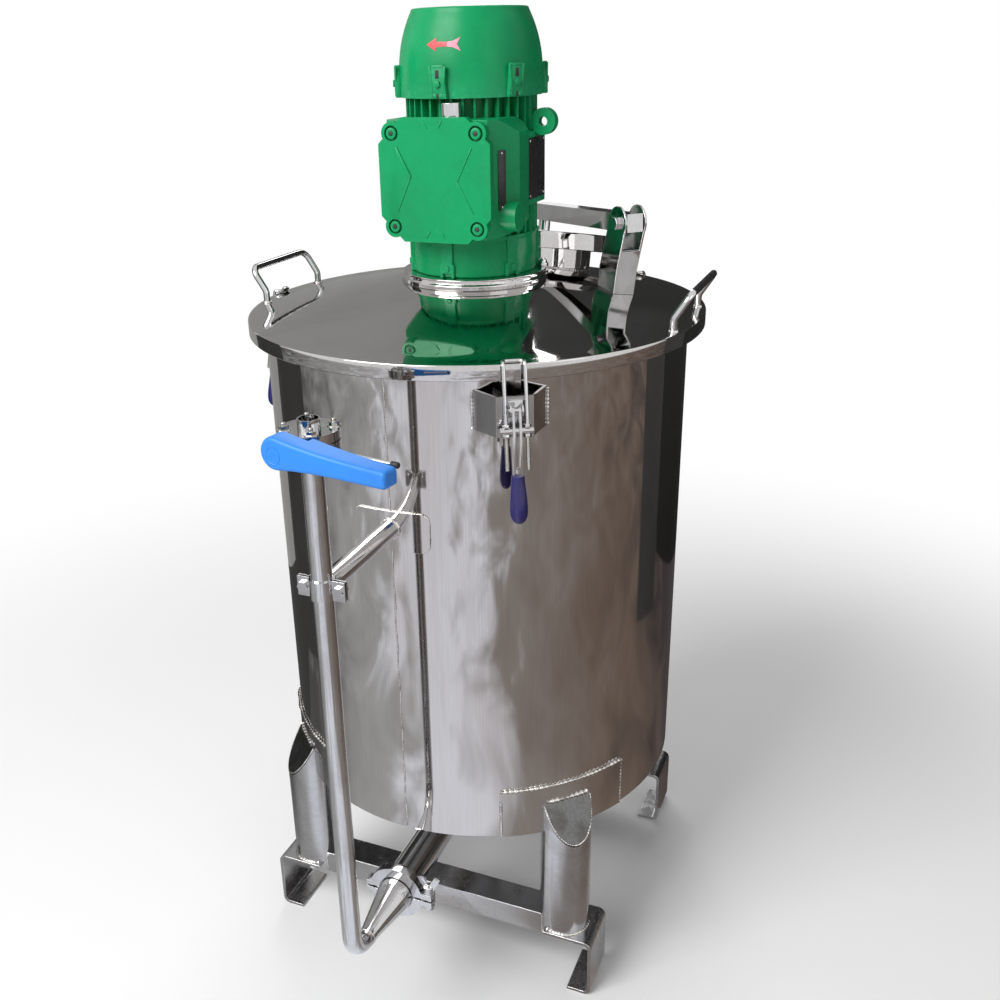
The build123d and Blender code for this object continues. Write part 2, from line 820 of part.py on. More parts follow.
# Outlet: from the bottom's centre through an elbow to the clamped joint
with BuildPart() as outlet_pipe:
    with BuildLine() as outlet_path:
        FilletPolyline(
            (0, 0, bottom_low),
            (0, 0, outlet_height),
            (0, joint_y, outlet_height),
            radius=outlet_elbow,
        )
    with BuildSketch(Plane.XY.offset(bottom_low)):
        Circle(outlet_radius)
        Circle(outlet_radius - outlet_wall, mode=Mode.SUBTRACT)
    sweep(path=outlet_path.wires()[0])
    with BuildSketch(Plane.XZ.offset(-joint_y - ferrule_thickness)):
        with Locations((0, outlet_height)):
            Circle(ferrule_radius)
            Circle(outlet_radius - outlet_wall, mode=Mode.SUBTRACT)
    extrude(amount=ferrule_thickness)
finish(outlet_pipe.part, "outlet_pipe")

# Clamp: two grooved half rings, closed by a swing bolt and a wing nut
clamp_halves = []
for side in (-1, 1):
    with BuildPart() as half_clamp:
        with BuildSketch(Plane.XZ.offset(-joint_y - clamp_width / 2)):
            with Locations((0, outlet_height)):
                Circle(clamp_radius)
                Circle(clamp_bore, mode=Mode.SUBTRACT)
            with Locations((0, outlet_height + side * (clamp_radius + clamp_gap) / 2)):
                Rectangle(3 * clamp_radius, clamp_radius - clamp_gap / 2, mode=Mode.INTERSECT)
            with Locations((clamp_radius + 6, outlet_height + side * (clamp_gap / 2 + 4.5))):
                Rectangle(18, 9)
            with Locations((-clamp_radius - 1, outlet_height + side * (clamp_gap / 2 + 4))):
                Rectangle(10, 8)
        extrude(amount=clamp_width)
        with BuildSketch(Plane.XZ.offset(-joint_y - ferrule_thickness - 0.2)):
            with Locations((0, outlet_height)):
                Circle(ferrule_radius + 0.5)
        extrude(amount=2 * ferrule_thickness + 0.4, mode=Mode.SUBTRACT)
        with BuildSketch(Plane.XY.offset(outlet_height - 30)):
            with Locations((clamp_radius + 9, joint_y)):
                Circle(3.6)
        extrude(amount=60, mode=Mode.SUBTRACT)
    clamp_halves.append(half_clamp.part)
finish(Compound(children=clamp_halves), "outlet_clamp")

clamp_side = clamp_radius + 9
wing_base = outlet_height + clamp_gap / 2 + 9
with BuildPart() as wing_nut:
    with BuildSketch(Plane.XY.offset(outlet_height - clamp_gap / 2 - 9 - 6)):
        with Locations((clamp_side, joint_y)):
            Circle(7)
    extrude(amount=6)
    with BuildSketch(Plane.XY.offset(outlet_height - clamp_gap / 2 - 9)):
        with Locations((clamp_side, joint_y)):
            Circle(3.2)
    extrude(amount=clamp_gap + 18 + 16)
    with BuildSketch(Plane.XY.offset(wing_base)):
        with Locations((clamp_side, joint_y)):
            Circle(7.5)
    extrude(amount=12)
    with BuildSketch(Plane.XZ.offset(-joint_y - 2)):
        with BuildLine():
            Polyline(
                (clamp_side - 6, wing_base + 2),
                (clamp_side + 6, wing_base + 2),
                (clamp_side + 17, wing_base + 26),
                (clamp_side + 9, wing_base + 29),
                (clamp_side, wing_base + 12),
                (clamp_side - 9, wing_base + 29),
                (clamp_side - 17, wing_base + 26),
                close=True,
            )
        make_face()
    extrude(amount=4)
finish(wing_nut.part, "clamp_wing_nut")

# Reducer from the clamped joint down to the riser's bore
reducer_end = riser_y + riser_bend
with BuildPart() as reducer:
    with BuildSketch(Plane.YZ):
        with BuildLine():
            Polyline(
                (joint_y, outlet_height + outlet_radius - outlet_wall),
                (joint_y, outlet_height + ferrule_radius),
                (joint_y - ferrule_thickness, outlet_height + ferrule_radius),
                (joint_y - ferrule_thickness, outlet_height + outlet_radius),
                (joint_y - 16, outlet_height + outlet_radius),
                (reducer_end + 8, outlet_height + riser_radius),
                (reducer_end, outlet_height + riser_radius),
                (reducer_end, outlet_height + riser_radius - riser_wall),
                (reducer_end + 8, outlet_height + riser_radius - riser_wall),
                (joint_y - 16, outlet_height + outlet_radius - outlet_wall),
                close=True,
            )
        make_face()
    revolve(axis=Axis((0, 0, outlet_height), (0, 1, 0)))
finish(reducer.part, "reducer")

# Riser: one bent tube from the reducer up to the valve
valve_low = valve_height - valve_half
with BuildPart() as riser_pipe:
    with BuildLine() as riser_path:
        FilletPolyline(
            (0, reducer_end, outlet_height),
            (0, riser_y, outlet_height),
            (0, riser_y, valve_low),
            radius=riser_bend - 0.01,
        )
    with BuildSketch(Plane(origin=(0, reducer_end, outlet_height), x_dir=(1, 0, 0), z_dir=(0, -1, 0))):
        Circle(riser_radius)
        Circle(riser_radius - riser_wall, mode=Mode.SUBTRACT)
    sweep(path=riser_path.wires()[0])
finish(riser_pipe.part, "riser_pipe")

# Stay that holds the riser off the shell: pad, tube and two-bolt clip
stay_pad_angle = degrees(stay_pad_width / tank_radius)
with BuildPart() as stay_pad:
    with BuildSketch(Plane.XZ.offset(tank_radius - 40)):
        with Locations((0, stay_height)):
            RectangleRounded(stay_pad_width, stay_pad_height, stay_pad_corner)
    extrude(amount=60)
    with BuildSketch(Plane.XY.offset(stay_height - stay_pad_height)):
        Circle(tank_radius + stay_pad_thickness)
        Circle(tank_radius, mode=Mode.SUBTRACT)
    extrude(amount=2 * stay_pad_height, mode=Mode.INTERSECT)
finish(stay_pad.part, "stay_pad")

clip_outer = riser_radius + clip_wall
with BuildPart() as stay_arm:
    with BuildSketch(Plane.XZ.offset(tank_radius - 10)):
        with Locations((0, stay_height)):
            Circle(stay_radius)
            Circle(stay_radius - stay_wall, mode=Mode.SUBTRACT)
    extrude(amount=-riser_y - tank_radius + 10)
    with BuildSketch(Plane.XY.offset(stay_height - 40)):
        Circle(tank_radius + stay_pad_thickness)
    extrude(amount=80, mode=Mode.SUBTRACT)
    with BuildSketch(Plane.XY.offset(stay_height - 40)):
        with Locations((0, riser_y)):
            Circle(clip_outer)
    extrude(amount=80, mode=Mode.SUBTRACT)
finish(stay_arm.part, "stay_arm")

clip_solids = []
for side in (-1, 1):
    with BuildPart() as clip_half:
        with BuildSketch(Plane.XY.offset(stay_height - clip_height / 2)):
            with Locations((0, riser_y)):
                Circle(clip_outer)
            with Locations((0, riser_y + side * (clip_gap + clip_wall) / 2)):
                Rectangle(2 * clip_reach, clip_wall)
            with Locations((0, riser_y + side * (clip_outer + clip_gap / 2))):
                Rectangle(2 * clip_reach, 2 * clip_outer, mode=Mode.INTERSECT)
            with Locations((0, riser_y)):
                Circle(riser_radius, mode=Mode.SUBTRACT)
        extrude(amount=clip_height)
        with BuildSketch(Plane.XZ.offset(-riser_y - 30)):
            with Locations((-clip_reach + 8, stay_height), (clip_reach - 8, stay_height)):
                Circle(clip_bolt_radius)
        extrude(amount=60, mode=Mode.SUBTRACT)
    clip_solids.append(clip_half.part)
for side in (-1, 1):
    with BuildPart() as clip_bolt:
        bolt_x = side * (clip_reach - 8)
        inner_face = -riser_y - clip_gap / 2 - clip_wall
        with BuildSketch(Plane.XZ.offset(inner_face)):
            with Locations((bolt_x, stay_height)):
                Circle(clip_bolt_radius - 0.3)
        extrude(amount=clip_gap + 2 * clip_wall)
        for start in (inner_face - 4, inner_face + clip_gap + 2 * clip_wall):
            with BuildSketch(Plane.XZ.offset(start)):
                with Locations((bolt_x, stay_height)):
                    RegularPolygon(radius=7, side_count=6)
            extrude(amount=4)
    clip_solids.append(clip_bolt.part)
finish(Compound(children=clip_solids), "riser_clip")

# Butterfly valve on the riser's top: two bolted flanges and a tube stub
spindle_dir = Vector(cos(radians(spindle_angle)), sin(radians(spindle_angle)), 0)
lever_dir = Vector(-spindle_dir.Y, spindle_dir.X, 0)
spindle_plane = Plane(origin=(0, riser_y, valve_height), x_dir=lever_dir, z_dir=spindle_dir)
valve_top = valve_height + valve_half
with BuildPart() as valve_body:
    with BuildSketch(Plane.XY.offset(valve_low)):
        with Locations((0, riser_y)):
            Circle(valve_radius)
    extrude(amount=2 * valve_half)
    with BuildSketch(Plane.XY.offset(valve_height - valve_groove / 2)):
        with Locations((0, riser_y)):
            Circle(valve_radius + 1)
            Circle(valve_radius - 4, mode=Mode.SUBTRACT)
    extrude(amount=valve_groove, mode=Mode.SUBTRACT)
    with BuildSketch(Plane.XY.offset(valve_top)):
        with Locations((0, riser_y)):
            Circle(riser_radius)
    extrude(amount=valve_stub)
    for level, height in ((valve_low - valve_bolt_height, valve_bolt_height), (valve_top, valve_bolt_height)):
        with BuildSketch(Plane.XY.offset(level)):
            with Locations(Location((0, riser_y), spindle_angle + 45)):
                with PolarLocations(valve_bolt_circle, 4):
                    RegularPolygon(radius=valve_bolt_radius * 1.5, side_count=6)
        extrude(amount=height)
    with BuildSketch(spindle_plane):
        Circle(spindle_radius + 4)
    extrude(amount=valve_radius + 1.5)
    with BuildSketch(Plane.XY.offset(valve_low - 1)):
        with Locations((0, riser_y)):
            Circle(valve_bore)
    extrude(amount=2 * valve_half + valve_stub + 2, mode=Mode.SUBTRACT)
    with BuildSketch(spindle_plane.offset(-valve_bore - 6)):
        Circle(spindle_radius + spindle_clearance)
    extrude(amount=valve_radius + valve_bore + 20, mode=Mode.SUBTRACT)
finish(valve_body.part, "valve_body")

# Valve disc and its spindle, one turned piece
with BuildPart() as valve_disc:
    with BuildSketch(Plane.XY.offset(valve_height - disc_thickness / 2)):
        with Locations((0, riser_y)):
            Circle(valve_bore - disc_clearance)
    extrude(amount=disc_thickness)
    with BuildSketch(spindle_plane.offset(-valve_bore - 5.5)):
        Circle(spindle_radius)
    extrude(amount=valve_bore + 5.5 + lever_front - lever_thickness + 6)
finish(valve_disc.part, "valve_disc")

# Moulded lever, deep at its boss and thinner at the tip
with BuildPart() as valve_lever:
    with BuildSketch(spindle_plane.offset(lever_front - lever_thickness)):
        with BuildLine():
            touch = atan2(lever_boss - lever_tip_half, lever_length)
            upper = (lever_boss * sin(touch), lever_boss * cos(touch))
            CenterArc((0, 0), lever_boss, degrees(pi / 2 - touch), 360 - 2 * degrees(pi / 2 - touch))
            Polyline(
                upper,
                (lever_length - 5, lever_tip_half),
                (lever_length, lever_tip_half - 5),
                (lever_length, -lever_tip_half + 5),
                (lever_length - 5, -lever_tip_half),
                (upper[0], -upper[1]),
            )
        make_face()
    extrude(amount=lever_thickness)
    taper_plane = Plane(
        origin=(0, riser_y, valve_height), x_dir=lever_dir, z_dir=(0, 0, 1)
    )
    back_face = lever_front - lever_thickness
    with BuildSketch(taper_plane.offset(-40)):
        with BuildLine():
            Polyline(
                (lever_boss + 4, -back_face),
                (lever_length + 5, -(lever_front - lever_tip_thickness)),
                (lever_length + 5, -back_face + 4),
                (lever_boss + 4, -back_face + 4),
                close=True,
            )
        make_face()
    extrude(amount=80, mode=Mode.SUBTRACT)
    with BuildSketch(spindle_plane.offset(lever_front - lever_thickness)):
        Circle(spindle_radius)
    extrude(amount=6, mode=Mode.SUBTRACT)
finish(valve_lever.part, "valve_lever")

# Steel locking rod carried behind the lever
with BuildPart() as valve_trigger:
    rod_plane = Plane(
        origin=Vector(0, riser_y, valve_height + trigger_lift)
        + spindle_dir * trigger_offset
        + lever_dir * trigger_start,
        x_dir=(0, 0, 1),
        z_dir=lever_dir,
    )
    with BuildSketch(rod_plane):
        Circle(trigger_radius)
    extrude(amount=trigger_end - trigger_start)
    with BuildSketch(rod_plane.offset(trigger_end - trigger_start)):
        Circle(trigger_radius + 1.2)
    extrude(amount=5)
    bridge_origin = (
        Vector(0, riser_y, valve_height) + spindle_dir * trigger_offset + lever_dir * (trigger_start + 6)
    )
    with BuildSketch(Plane(origin=bridge_origin, x_dir=lever_dir, z_dir=spindle_dir)):
        Rectangle(8, 2 * trigger_lift + 6)
    extrude(
        amount=lever_front
        - lever_thickness
        + (lever_thickness - lever_tip_thickness)
        * (trigger_start + 2 - lever_boss - 4)
        / (lever_length + 5 - lever_boss - 4)
        - trigger_offset
    )
finish(valve_trigger.part, "valve_trigger")

# Toggle latches, one set for each place around the rim
hinge_at = latch_front + hinge_out
trunnion_at = hinge_at + throw_out
trunnion_z = hinge_height - throw_down
hook_z = lid_top + rod_radius + hook_clearance
knee_at = lid_edge + rod_radius + 3.4
rod_lean = (trunnion_at - knee_at) / (hook_z - trunnion_z)
for latch_name, angle in latch_angles.items():
    plane = radial_plane(angle)
    outward = Vector(cos(radians(angle)), sin(radians(angle)), 0)
    across = Vector(-sin(radians(angle)), cos(radians(angle)), 0)

    # Bent plate bracket, open at the top, welded to the shell
    flat = Plane(origin=(0, 0, latch_bottom), x_dir=outward, z_dir=(0, 0, 1))
    with BuildPart() as latch_bracket:
        with BuildSketch(flat):
            with BuildLine():
                Polyline(
                    (tank_radius - 25, -latch_half_base - 8),
                    (tank_radius - 6, -latch_half_base),
                    (latch_front, -latch_half_front),
                    (latch_front, latch_half_front),
                    (tank_radius - 6, latch_half_base),
                    (tank_radius - 25, latch_half_base + 8),
                    close=True,
                )
            make_face()
            with BuildLine():
                Polyline(
                    (tank_radius - 40, -latch_half_base - 8 + latch_plate),
                    (tank_radius - 6 - latch_plate, -latch_half_base + latch_plate),
                    (latch_front - latch_plate, -latch_half_front + latch_plate / 2),
                    (latch_front - latch_plate, latch_half_front - latch_plate / 2),
                    (tank_radius - 6 - latch_plate, latch_half_base - latch_plate),
                    (tank_radius - 40, latch_half_base + 8 - latch_plate),
                    close=True,
                )
            make_face(mode=Mode.SUBTRACT)
        extrude(amount=latch_height)
        with BuildSketch(Plane.XY.offset(latch_bottom - 1)):
            Circle(tank_radius)
        extrude(amount=latch_height + 2, mode=Mode.SUBTRACT)
        # Keeper plate with two ears for the lever's pin
        with BuildSketch(plane.offset(-keeper_half)):
            with BuildLine():
                Polyline(
                    (latch_front, keeper_low),
                    (latch_front + keeper_plate, keeper_low),
                    (latch_front + keeper_plate, keeper_high),
                    (latch_front, keeper_high),
                    close=True,
                )
            make_face()
        extrude(amount=2 * keeper_half)
        for ear in (-1, 1):
            with BuildSketch(plane.offset(ear_inner if ear > 0 else -ear_outer)):
                with Locations((hinge_at, hinge_height)):
                    Circle(ear_radius)
                with Locations(((latch_front + keeper_plate + hinge_at) / 2, hinge_height)):
                    Rectangle(hinge_at - latch_front - keeper_plate, 2 * ear_radius)
                with Locations((hinge_at, hinge_height)):
                    Circle(hinge_pin + run_clearance, mode=Mode.SUBTRACT)
                with Locations((latch_front, hinge_height)):
                    Rectangle(2 * keeper_plate, 4 * ear_radius, mode=Mode.SUBTRACT)
            extrude(amount=ear_outer - ear_inner)
    finish(latch_bracket.part, f"latch_{latch_name}_bracket")

    # Lever: twin bars on a pin, drawn together where they enter the grip
    grip_out = hinge_at + throw_out * (hinge_height - grip_top) / throw_down
    lever_tilt = atan2(throw_out, throw_down)
    grip_axis = outward * sin(lever_tilt) + Vector(0, 0, -cos(lever_tilt))
    grip_side = outward * cos(lever_tilt) + Vector(0, 0, sin(lever_tilt))
    grip_origin = outward * grip_out + Vector(0, 0, grip_top - 6)
    with BuildPart() as latch_lever:
        for side in (-1, 1):
            with BuildSketch(plane.offset(bar_inner if side > 0 else -bar_outer)):
                with BuildLine():
                    Polyline(
                        (hinge_at - bar_half, hinge_height),
                        (hinge_at + bar_half, hinge_height),
                        (trunnion_at + bar_half + 2, trunnion_z),
                        (grip_out + bar_half, grip_top - 11),
                        (grip_out - bar_half, grip_top - 11),
                        (trunnion_at - bar_half - 2, trunnion_z),
                        close=True,
                    )
                make_face()
                with Locations((hinge_at, hinge_height)):
                    Circle(bar_half)
                with Locations((trunnion_at, trunnion_z)):
                    Circle(trunnion_radius + run_clearance, mode=Mode.SUBTRACT)
            extrude(amount=bar_outer - bar_inner)
        with BuildSketch(plane.offset(-ear_outer - 0.4)):
            with Locations((hinge_at, hinge_height)):
                Circle(hinge_pin)
        extrude(amount=2 * ear_outer + 0.8)
        with BuildSketch(plane.offset(-bar_inner)):
            with Locations((grip_out, grip_top - 4)):
                Rectangle(2 * bar_half, 14)
        extrude(amount=2 * bar_inner)
        with BuildSketch(Plane(origin=grip_origin, x_dir=across, z_dir=grip_axis)):
            Circle(2 * grip_bulge)
        extrude(amount=2 * grip_bulge, mode=Mode.SUBTRACT)
    finish(latch_lever.part, f"latch_{latch_name}_lever")

    # Moulded grip on the end of the bars
    grip_plane = Plane(origin=grip_origin, x_dir=grip_side, z_dir=grip_side.cross(grip_axis))
    with BuildPart() as latch_grip:
        with BuildSketch(grip_plane):
            with BuildLine():
                l1 = Line((0, 0), (grip_neck, 0))
                l2 = Spline(
                    (grip_neck, 0),
                    (grip_neck + 0.5, 10),
                    (grip_bulge, 0.62 * grip_length),
                    (0.6 * grip_bulge, grip_length - 3),
                    (0, grip_length),
                )
                l3 = Line((0, grip_length), (0, 0))
            make_face()
        revolve(axis=Axis(grip_origin, grip_axis))
    finish(latch_grip.part, f"latch_{latch_name}_grip")

    # Threaded hoop over the rim, with its trunnion bar and nuts
    def on_rod(height, sideways):
        return outward * (trunnion_at - (height - trunnion_z) * rod_lean) + across * sideways + Vector(0, 0, height)

    with BuildPart() as latch_hoop:
        with BuildLine() as hoop_path:
            FilletPolyline(
                on_rod(rod_end, -rod_spacing),
                on_rod(hook_z, -rod_spacing),
                outward * hook_radius_at + across * -rod_spacing + Vector(0, 0, hook_z),
                outward * hook_radius_at + across * rod_spacing + Vector(0, 0, hook_z),
                on_rod(hook_z, rod_spacing),
                on_rod(rod_end, rod_spacing),
                radius=4.0,
            )
        start = on_rod(rod_end, -rod_spacing)
        with BuildSketch(Plane(origin=start, x_dir=across, z_dir=on_rod(hook_z, -rod_spacing) - start)):
            Circle(rod_radius)
        sweep(path=hoop_path.wires()[0])
        with BuildSketch(plane.offset(-trunnion_half)):
            with Locations((trunnion_at, trunnion_z)):
                Circle(trunnion_radius)
        extrude(amount=2 * trunnion_half)
        rod_up = (on_rod(hook_z, 0) - on_rod(rod_end, 0)).normalized()
        for sideways in (-rod_spacing, rod_spacing):
            for shift in (trunnion_radius - 0.5, -trunnion_radius - nut_height + 0.5):
                nut_at = on_rod(trunnion_z, sideways) + rod_up * shift
                with BuildSketch(Plane(origin=nut_at, x_dir=across, z_dir=rod_up)):
                    RegularPolygon(radius=nut_radius, side_count=6)
                extrude(amount=nut_height)
    finish(latch_hoop.part, f"latch_{latch_name}_hoop")
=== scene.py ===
import bmesh
import bpy
import json
from math import atan, atan2, cos, degrees, exp, hypot, pi, radians, sin, tan
from mathutils import Matrix, Vector


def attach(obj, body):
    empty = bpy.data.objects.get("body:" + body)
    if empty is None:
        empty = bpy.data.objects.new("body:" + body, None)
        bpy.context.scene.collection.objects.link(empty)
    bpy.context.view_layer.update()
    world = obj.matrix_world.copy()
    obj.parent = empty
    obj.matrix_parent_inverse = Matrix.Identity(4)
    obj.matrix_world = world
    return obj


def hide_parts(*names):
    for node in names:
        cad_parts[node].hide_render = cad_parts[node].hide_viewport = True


# Mixing tank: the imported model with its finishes, welds, fixings and cast details.
# Everything is in metres, +Z up, with the tank's axis on x = y = 0.

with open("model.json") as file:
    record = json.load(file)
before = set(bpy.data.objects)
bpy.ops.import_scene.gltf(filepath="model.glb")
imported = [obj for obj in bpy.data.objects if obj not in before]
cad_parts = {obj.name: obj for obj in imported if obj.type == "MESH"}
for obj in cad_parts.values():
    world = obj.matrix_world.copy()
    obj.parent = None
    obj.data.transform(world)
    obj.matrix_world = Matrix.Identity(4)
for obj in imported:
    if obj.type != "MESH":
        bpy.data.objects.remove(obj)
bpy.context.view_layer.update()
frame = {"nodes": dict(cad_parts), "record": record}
scene = bpy.context.scene
record = frame["record"]
bodyOf = {node: body for body, nodes in record["behaviour"]["bodies"].items() for node in nodes}
print("frame loaded:", len(bodyOf), "nodes")


# a new object in the scene, a mesh out of a bmesh, and the finish with its sharp edges
def placed(name, data):
    thing = bpy.data.objects.new(name, data)
    scene.collection.objects.link(thing)
    return thing


def meshOf(name, bm):
    mesh = bpy.data.meshes.new(name)
    bm.to_mesh(mesh)
    bm.free()
    return mesh


def shade(mesh, material, sharp):
    mesh.materials.clear()
    mesh.materials.append(material)
    mesh.shade_smooth()
    mesh.set_sharp_from_angle(angle=radians(sharp))


def keep(name, mesh, material, body, node=None, sharp=35, soften=0.0):
    thing = placed(name, mesh)
    shade(mesh, material, sharp)
    if soften:
        edge = thing.modifiers.new("softEdges", "BEVEL")
        edge.width = soften
        edge.segments = 2
        edge.limit_method = "ANGLE"
        edge.angle_limit = radians(sharp)
        edge.harden_normals = True
    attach(thing, body)
    if node:
        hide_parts(node)
    return thing


def keepBm(name, bm, material, body="vessel", sharp=40, **more):
    bmesh.ops.recalc_face_normals(bm, faces=bm.faces)
    return keep(name, meshOf(name, bm), material, body, sharp=sharp, **more)


def standIn(node, name, bm, material, **more):
    # a shape made here that the picture shows in the place of a node
    return keepBm(name, bm, material, bodyOf[node], node=node, **more)


def dress(node, material, soften=0.0, sharp=35):
    # a merged copy of a node's mesh, with its finish and softened edges
    bm = bmesh.new()
    bm.from_mesh(frame["nodes"][node].data)
    bmesh.ops.remove_doubles(bm, verts=bm.verts, dist=2e-6)
    bmesh.ops.dissolve_limit(bm, angle_limit=radians(0.3), verts=bm.verts, edges=bm.edges)
    keep(node + "Finish", meshOf(node + "Finish", bm), material, bodyOf[node], node, sharp, soften)


def carve(thing, cutter, sharp):
    # takes the cutter's closed shapes out of a piece and applies the result
    bmesh.ops.recalc_face_normals(cutter, faces=cutter.faces)
    cut = placed("cutter", meshOf("cutter", cutter))
    step = thing.modifiers.new("cut", "BOOLEAN")
    step.operation = "DIFFERENCE"
    step.solver = "EXACT"
    step.use_self = True
    step.object = cut
    graph = bpy.context.evaluated_depsgraph_get()
    graph.update()
    result = bpy.data.meshes.new_from_object(thing.evaluated_get(graph))
    thing.modifiers.remove(step)
    shade(result, thing.data.materials[0], sharp)
    thing.data = result
    bpy.data.objects.remove(cut)


# matrices: one whose local z looks along a direction, and one that stands upright with its local y outward
def facing(at, direction, turn=0.0):
    spin = Matrix.Rotation(turn, 4, "Z")
    return Matrix.Translation(at) @ Vector(direction).to_track_quat("Z", "Y").to_matrix().to_4x4() @ spin


def upright(at, across, outward):
    return Matrix.Translation(at) @ Matrix((across, outward, Vector((0, 0, 1)))).transposed().to_4x4()


def around(angle, radius, z):
    return Vector((radius * cos(radians(angle)), radius * sin(radians(angle)), z))


def outAndAcross(angle):
    return around(angle, 1, 0), around(angle + 90, 1, 0)


def addTurned(bm, profile, steps=64, place=None, closed=True):
    # spins an outline of (radius, height) pairs about the local z axis
    before = set(bm.verts)
    verts = [bm.verts.new((r, 0, z)) for r, z in profile]
    edges = [bm.edges.new(pair) for pair in zip(verts, verts[1:])]
    if closed:
        edges.append(bm.edges.new((verts[-1], verts[0])))
    bmesh.ops.spin(bm, geom=verts + edges, cent=(0, 0, 0), axis=(0, 0, 1), angle=2 * pi,
                   steps=steps, use_merge=True)
    made = [v for v in bm.verts if v not in before]
    bmesh.ops.remove_doubles(bm, verts=made, dist=1e-6)
    if place is not None:
        bmesh.ops.transform(bm, matrix=place, verts=[v for v in made if v.is_valid])


def bevelEdges(bm, edges, width):
    bmesh.ops.bevel(bm, geom=edges, offset=width, segments=2, profile=0.5, affect="EDGES", material=-1)


def bevelAll(bm, verts, width):
    bevelEdges(bm, list(dict.fromkeys(e for v in verts for e in v.link_edges)), width)


def addBlock(bm, size, place, edge):
    bevelAll(bm, bmesh.ops.create_cube(bm, size=1.0, matrix=place @ Matrix.Diagonal((*size, 1.0)))["verts"], edge)


def addRod(bm, sides, radius, height, place):
    return bmesh.ops.create_cone(bm, cap_ends=True, segments=sides, radius1=radius, radius2=radius, depth=height,
                                 matrix=place)["verts"]


def addHex(bm, across, height, place, edge=0.0005):
    seat = place @ Matrix.Translation((0, 0, height / 2))
    bevelAll(bm, addRod(bm, 6, across / 2 / cos(pi / 6), height, seat), edge)


def addSocketScrew(bm, at, direction, radius, height, turn=0.2):
    # a round head with a round recess pressed into its face
    at, direction = Vector(at), Vector(direction)
    made = addRod(bm, 36, radius, height, facing(at, direction, turn) @ Matrix.Translation((0, 0, height / 2)))

    def reach(face):
        return (face.calc_center_median() - at).dot(direction)

    top = max({f for v in made for f in v.link_faces}, key=reach)
    bevelEdges(bm, top.edges[:], radius * 0.12)
    top = max({f for f in bm.faces if (f.calc_center_median() - at).length < height * 2},
              key=lambda f: reach(f) + f.calc_area())
    bmesh.ops.inset_region(bm, faces=[top], thickness=radius * 0.38, depth=0.0)
    bmesh.ops.inset_region(bm, faces=[top], thickness=radius * 0.02, depth=-height * 0.5)


def sliceAcross(bm, stations):
    # cuts a flat face into strips along x, so that it can be bent
    for x in stations:
        bmesh.ops.bisect_plane(bm, geom=bm.verts[:] + bm.edges[:] + bm.faces[:], plane_co=(x, 0, 0),
                               plane_no=(1, 0, 0))


# paths: evenly stepped, with rounded corners, and round a ring
def resample(points, step, closed=False):
    points = [Vector(p) for p in points]
    if closed:
        points.append(points[0])
    out = [points[0]]
    for a, b in zip(points, points[1:]):
        count = max(1, round((b - a).length / step))
        out.extend(a.lerp(b, k / count) for k in range(1, count + 1))
    return out[:-1] if closed else out


def filleted(points, radii, steps=12):
    # a path whose inner corners are arcs of the given radii
    points = [Vector(p) for p in points]
    out = [points[0]]
    for a, b, c, radius in zip(points, points[1:], points[2:], radii):
        u, v = (a - b).normalized(), (c - b).normalized()
        half = u.angle(v) / 2
        centre = b + (u + v).normalized() * (radius / sin(half))
        start = (b + u * (radius / tan(half)) - centre).normalized()
        end = (b + v * (radius / tan(half)) - centre).normalized()
        out += [centre + start.slerp(end, k / steps) * radius for k in range(steps + 1)]
    return out + [points[-1]]


def ringPath(centre, normal, radius, count=40, turn=0.0):
    place = facing(centre, normal, turn)
    return [place @ Vector((radius * cos(2 * pi * k / count), radius * sin(2 * pi * k / count), 0))
            for k in range(count)]


def addPipe(bm, path, radius, bore=0.0, sides=48):
    # sweeps a ring along a path without twisting it
    skins = []
    for size in (radius, bore) if bore else (radius,):
        normal = (path[1] - path[0]).orthogonal().normalized()
        rings = []
        for k, p in enumerate(path):
            tangent = (path[min(k + 1, len(path) - 1)] - path[max(k - 1, 0)]).normalized()
            normal = (normal - tangent * normal.dot(tangent)).normalized()
            place = Matrix.Translation(p) @ Matrix((normal, tangent.cross(normal), tangent)).transposed().to_4x4()
            capped = not bore and k in (0, len(path) - 1)
            ring = bmesh.ops.create_circle(bm, cap_ends=capped, radius=size, segments=sides, matrix=place)["verts"]
            rings.append(list(dict.fromkeys(e for v in ring for e in v.link_edges)))
        for near, far in zip(rings, rings[1:]):
            bmesh.ops.bridge_loops(bm, edges=near + far)
        skins.append(rings)
    for end in (0, -1) if bore else ():
        bmesh.ops.bridge_loops(bm, edges=skins[0][end] + skins[1][end])


beadWaves = {"step": 0.9, "ripple": 2.1, "slow": 0.37, "slower": 0.113, "wander": 0.6}


def weldBead(name, points, size, rough, closed=False):
    # a rippled bead laid along a path, from overlapping puddles of metal
    w = beadWaves
    curve = bpy.data.curves.new(name, "CURVE")
    curve.dimensions = "3D"
    curve.bevel_depth = size
    curve.bevel_resolution = 2
    curve.use_fill_caps = True
    path = resample(points, size * w["step"], closed)
    spline = curve.splines.new("POLY")
    spline.points.add(len(path) - 1)
    spline.use_cyclic_u = closed
    for i, p in enumerate(path):
        spline.points[i].co = (*p, 1)
        ripple = (0.5 + 0.5 * cos(i * w["ripple"])) ** 2
        wander = 0.5 * sin(i * w["slow"] + len(path)) + 0.5 * sin(i * w["slower"])
        spline.points[i].radius = 1 - rough + rough * ripple + rough * w["wander"] * wander
    spline.use_smooth = True
    curve.materials.append(steelWeld)
    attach(placed(name, curve), "vessel")


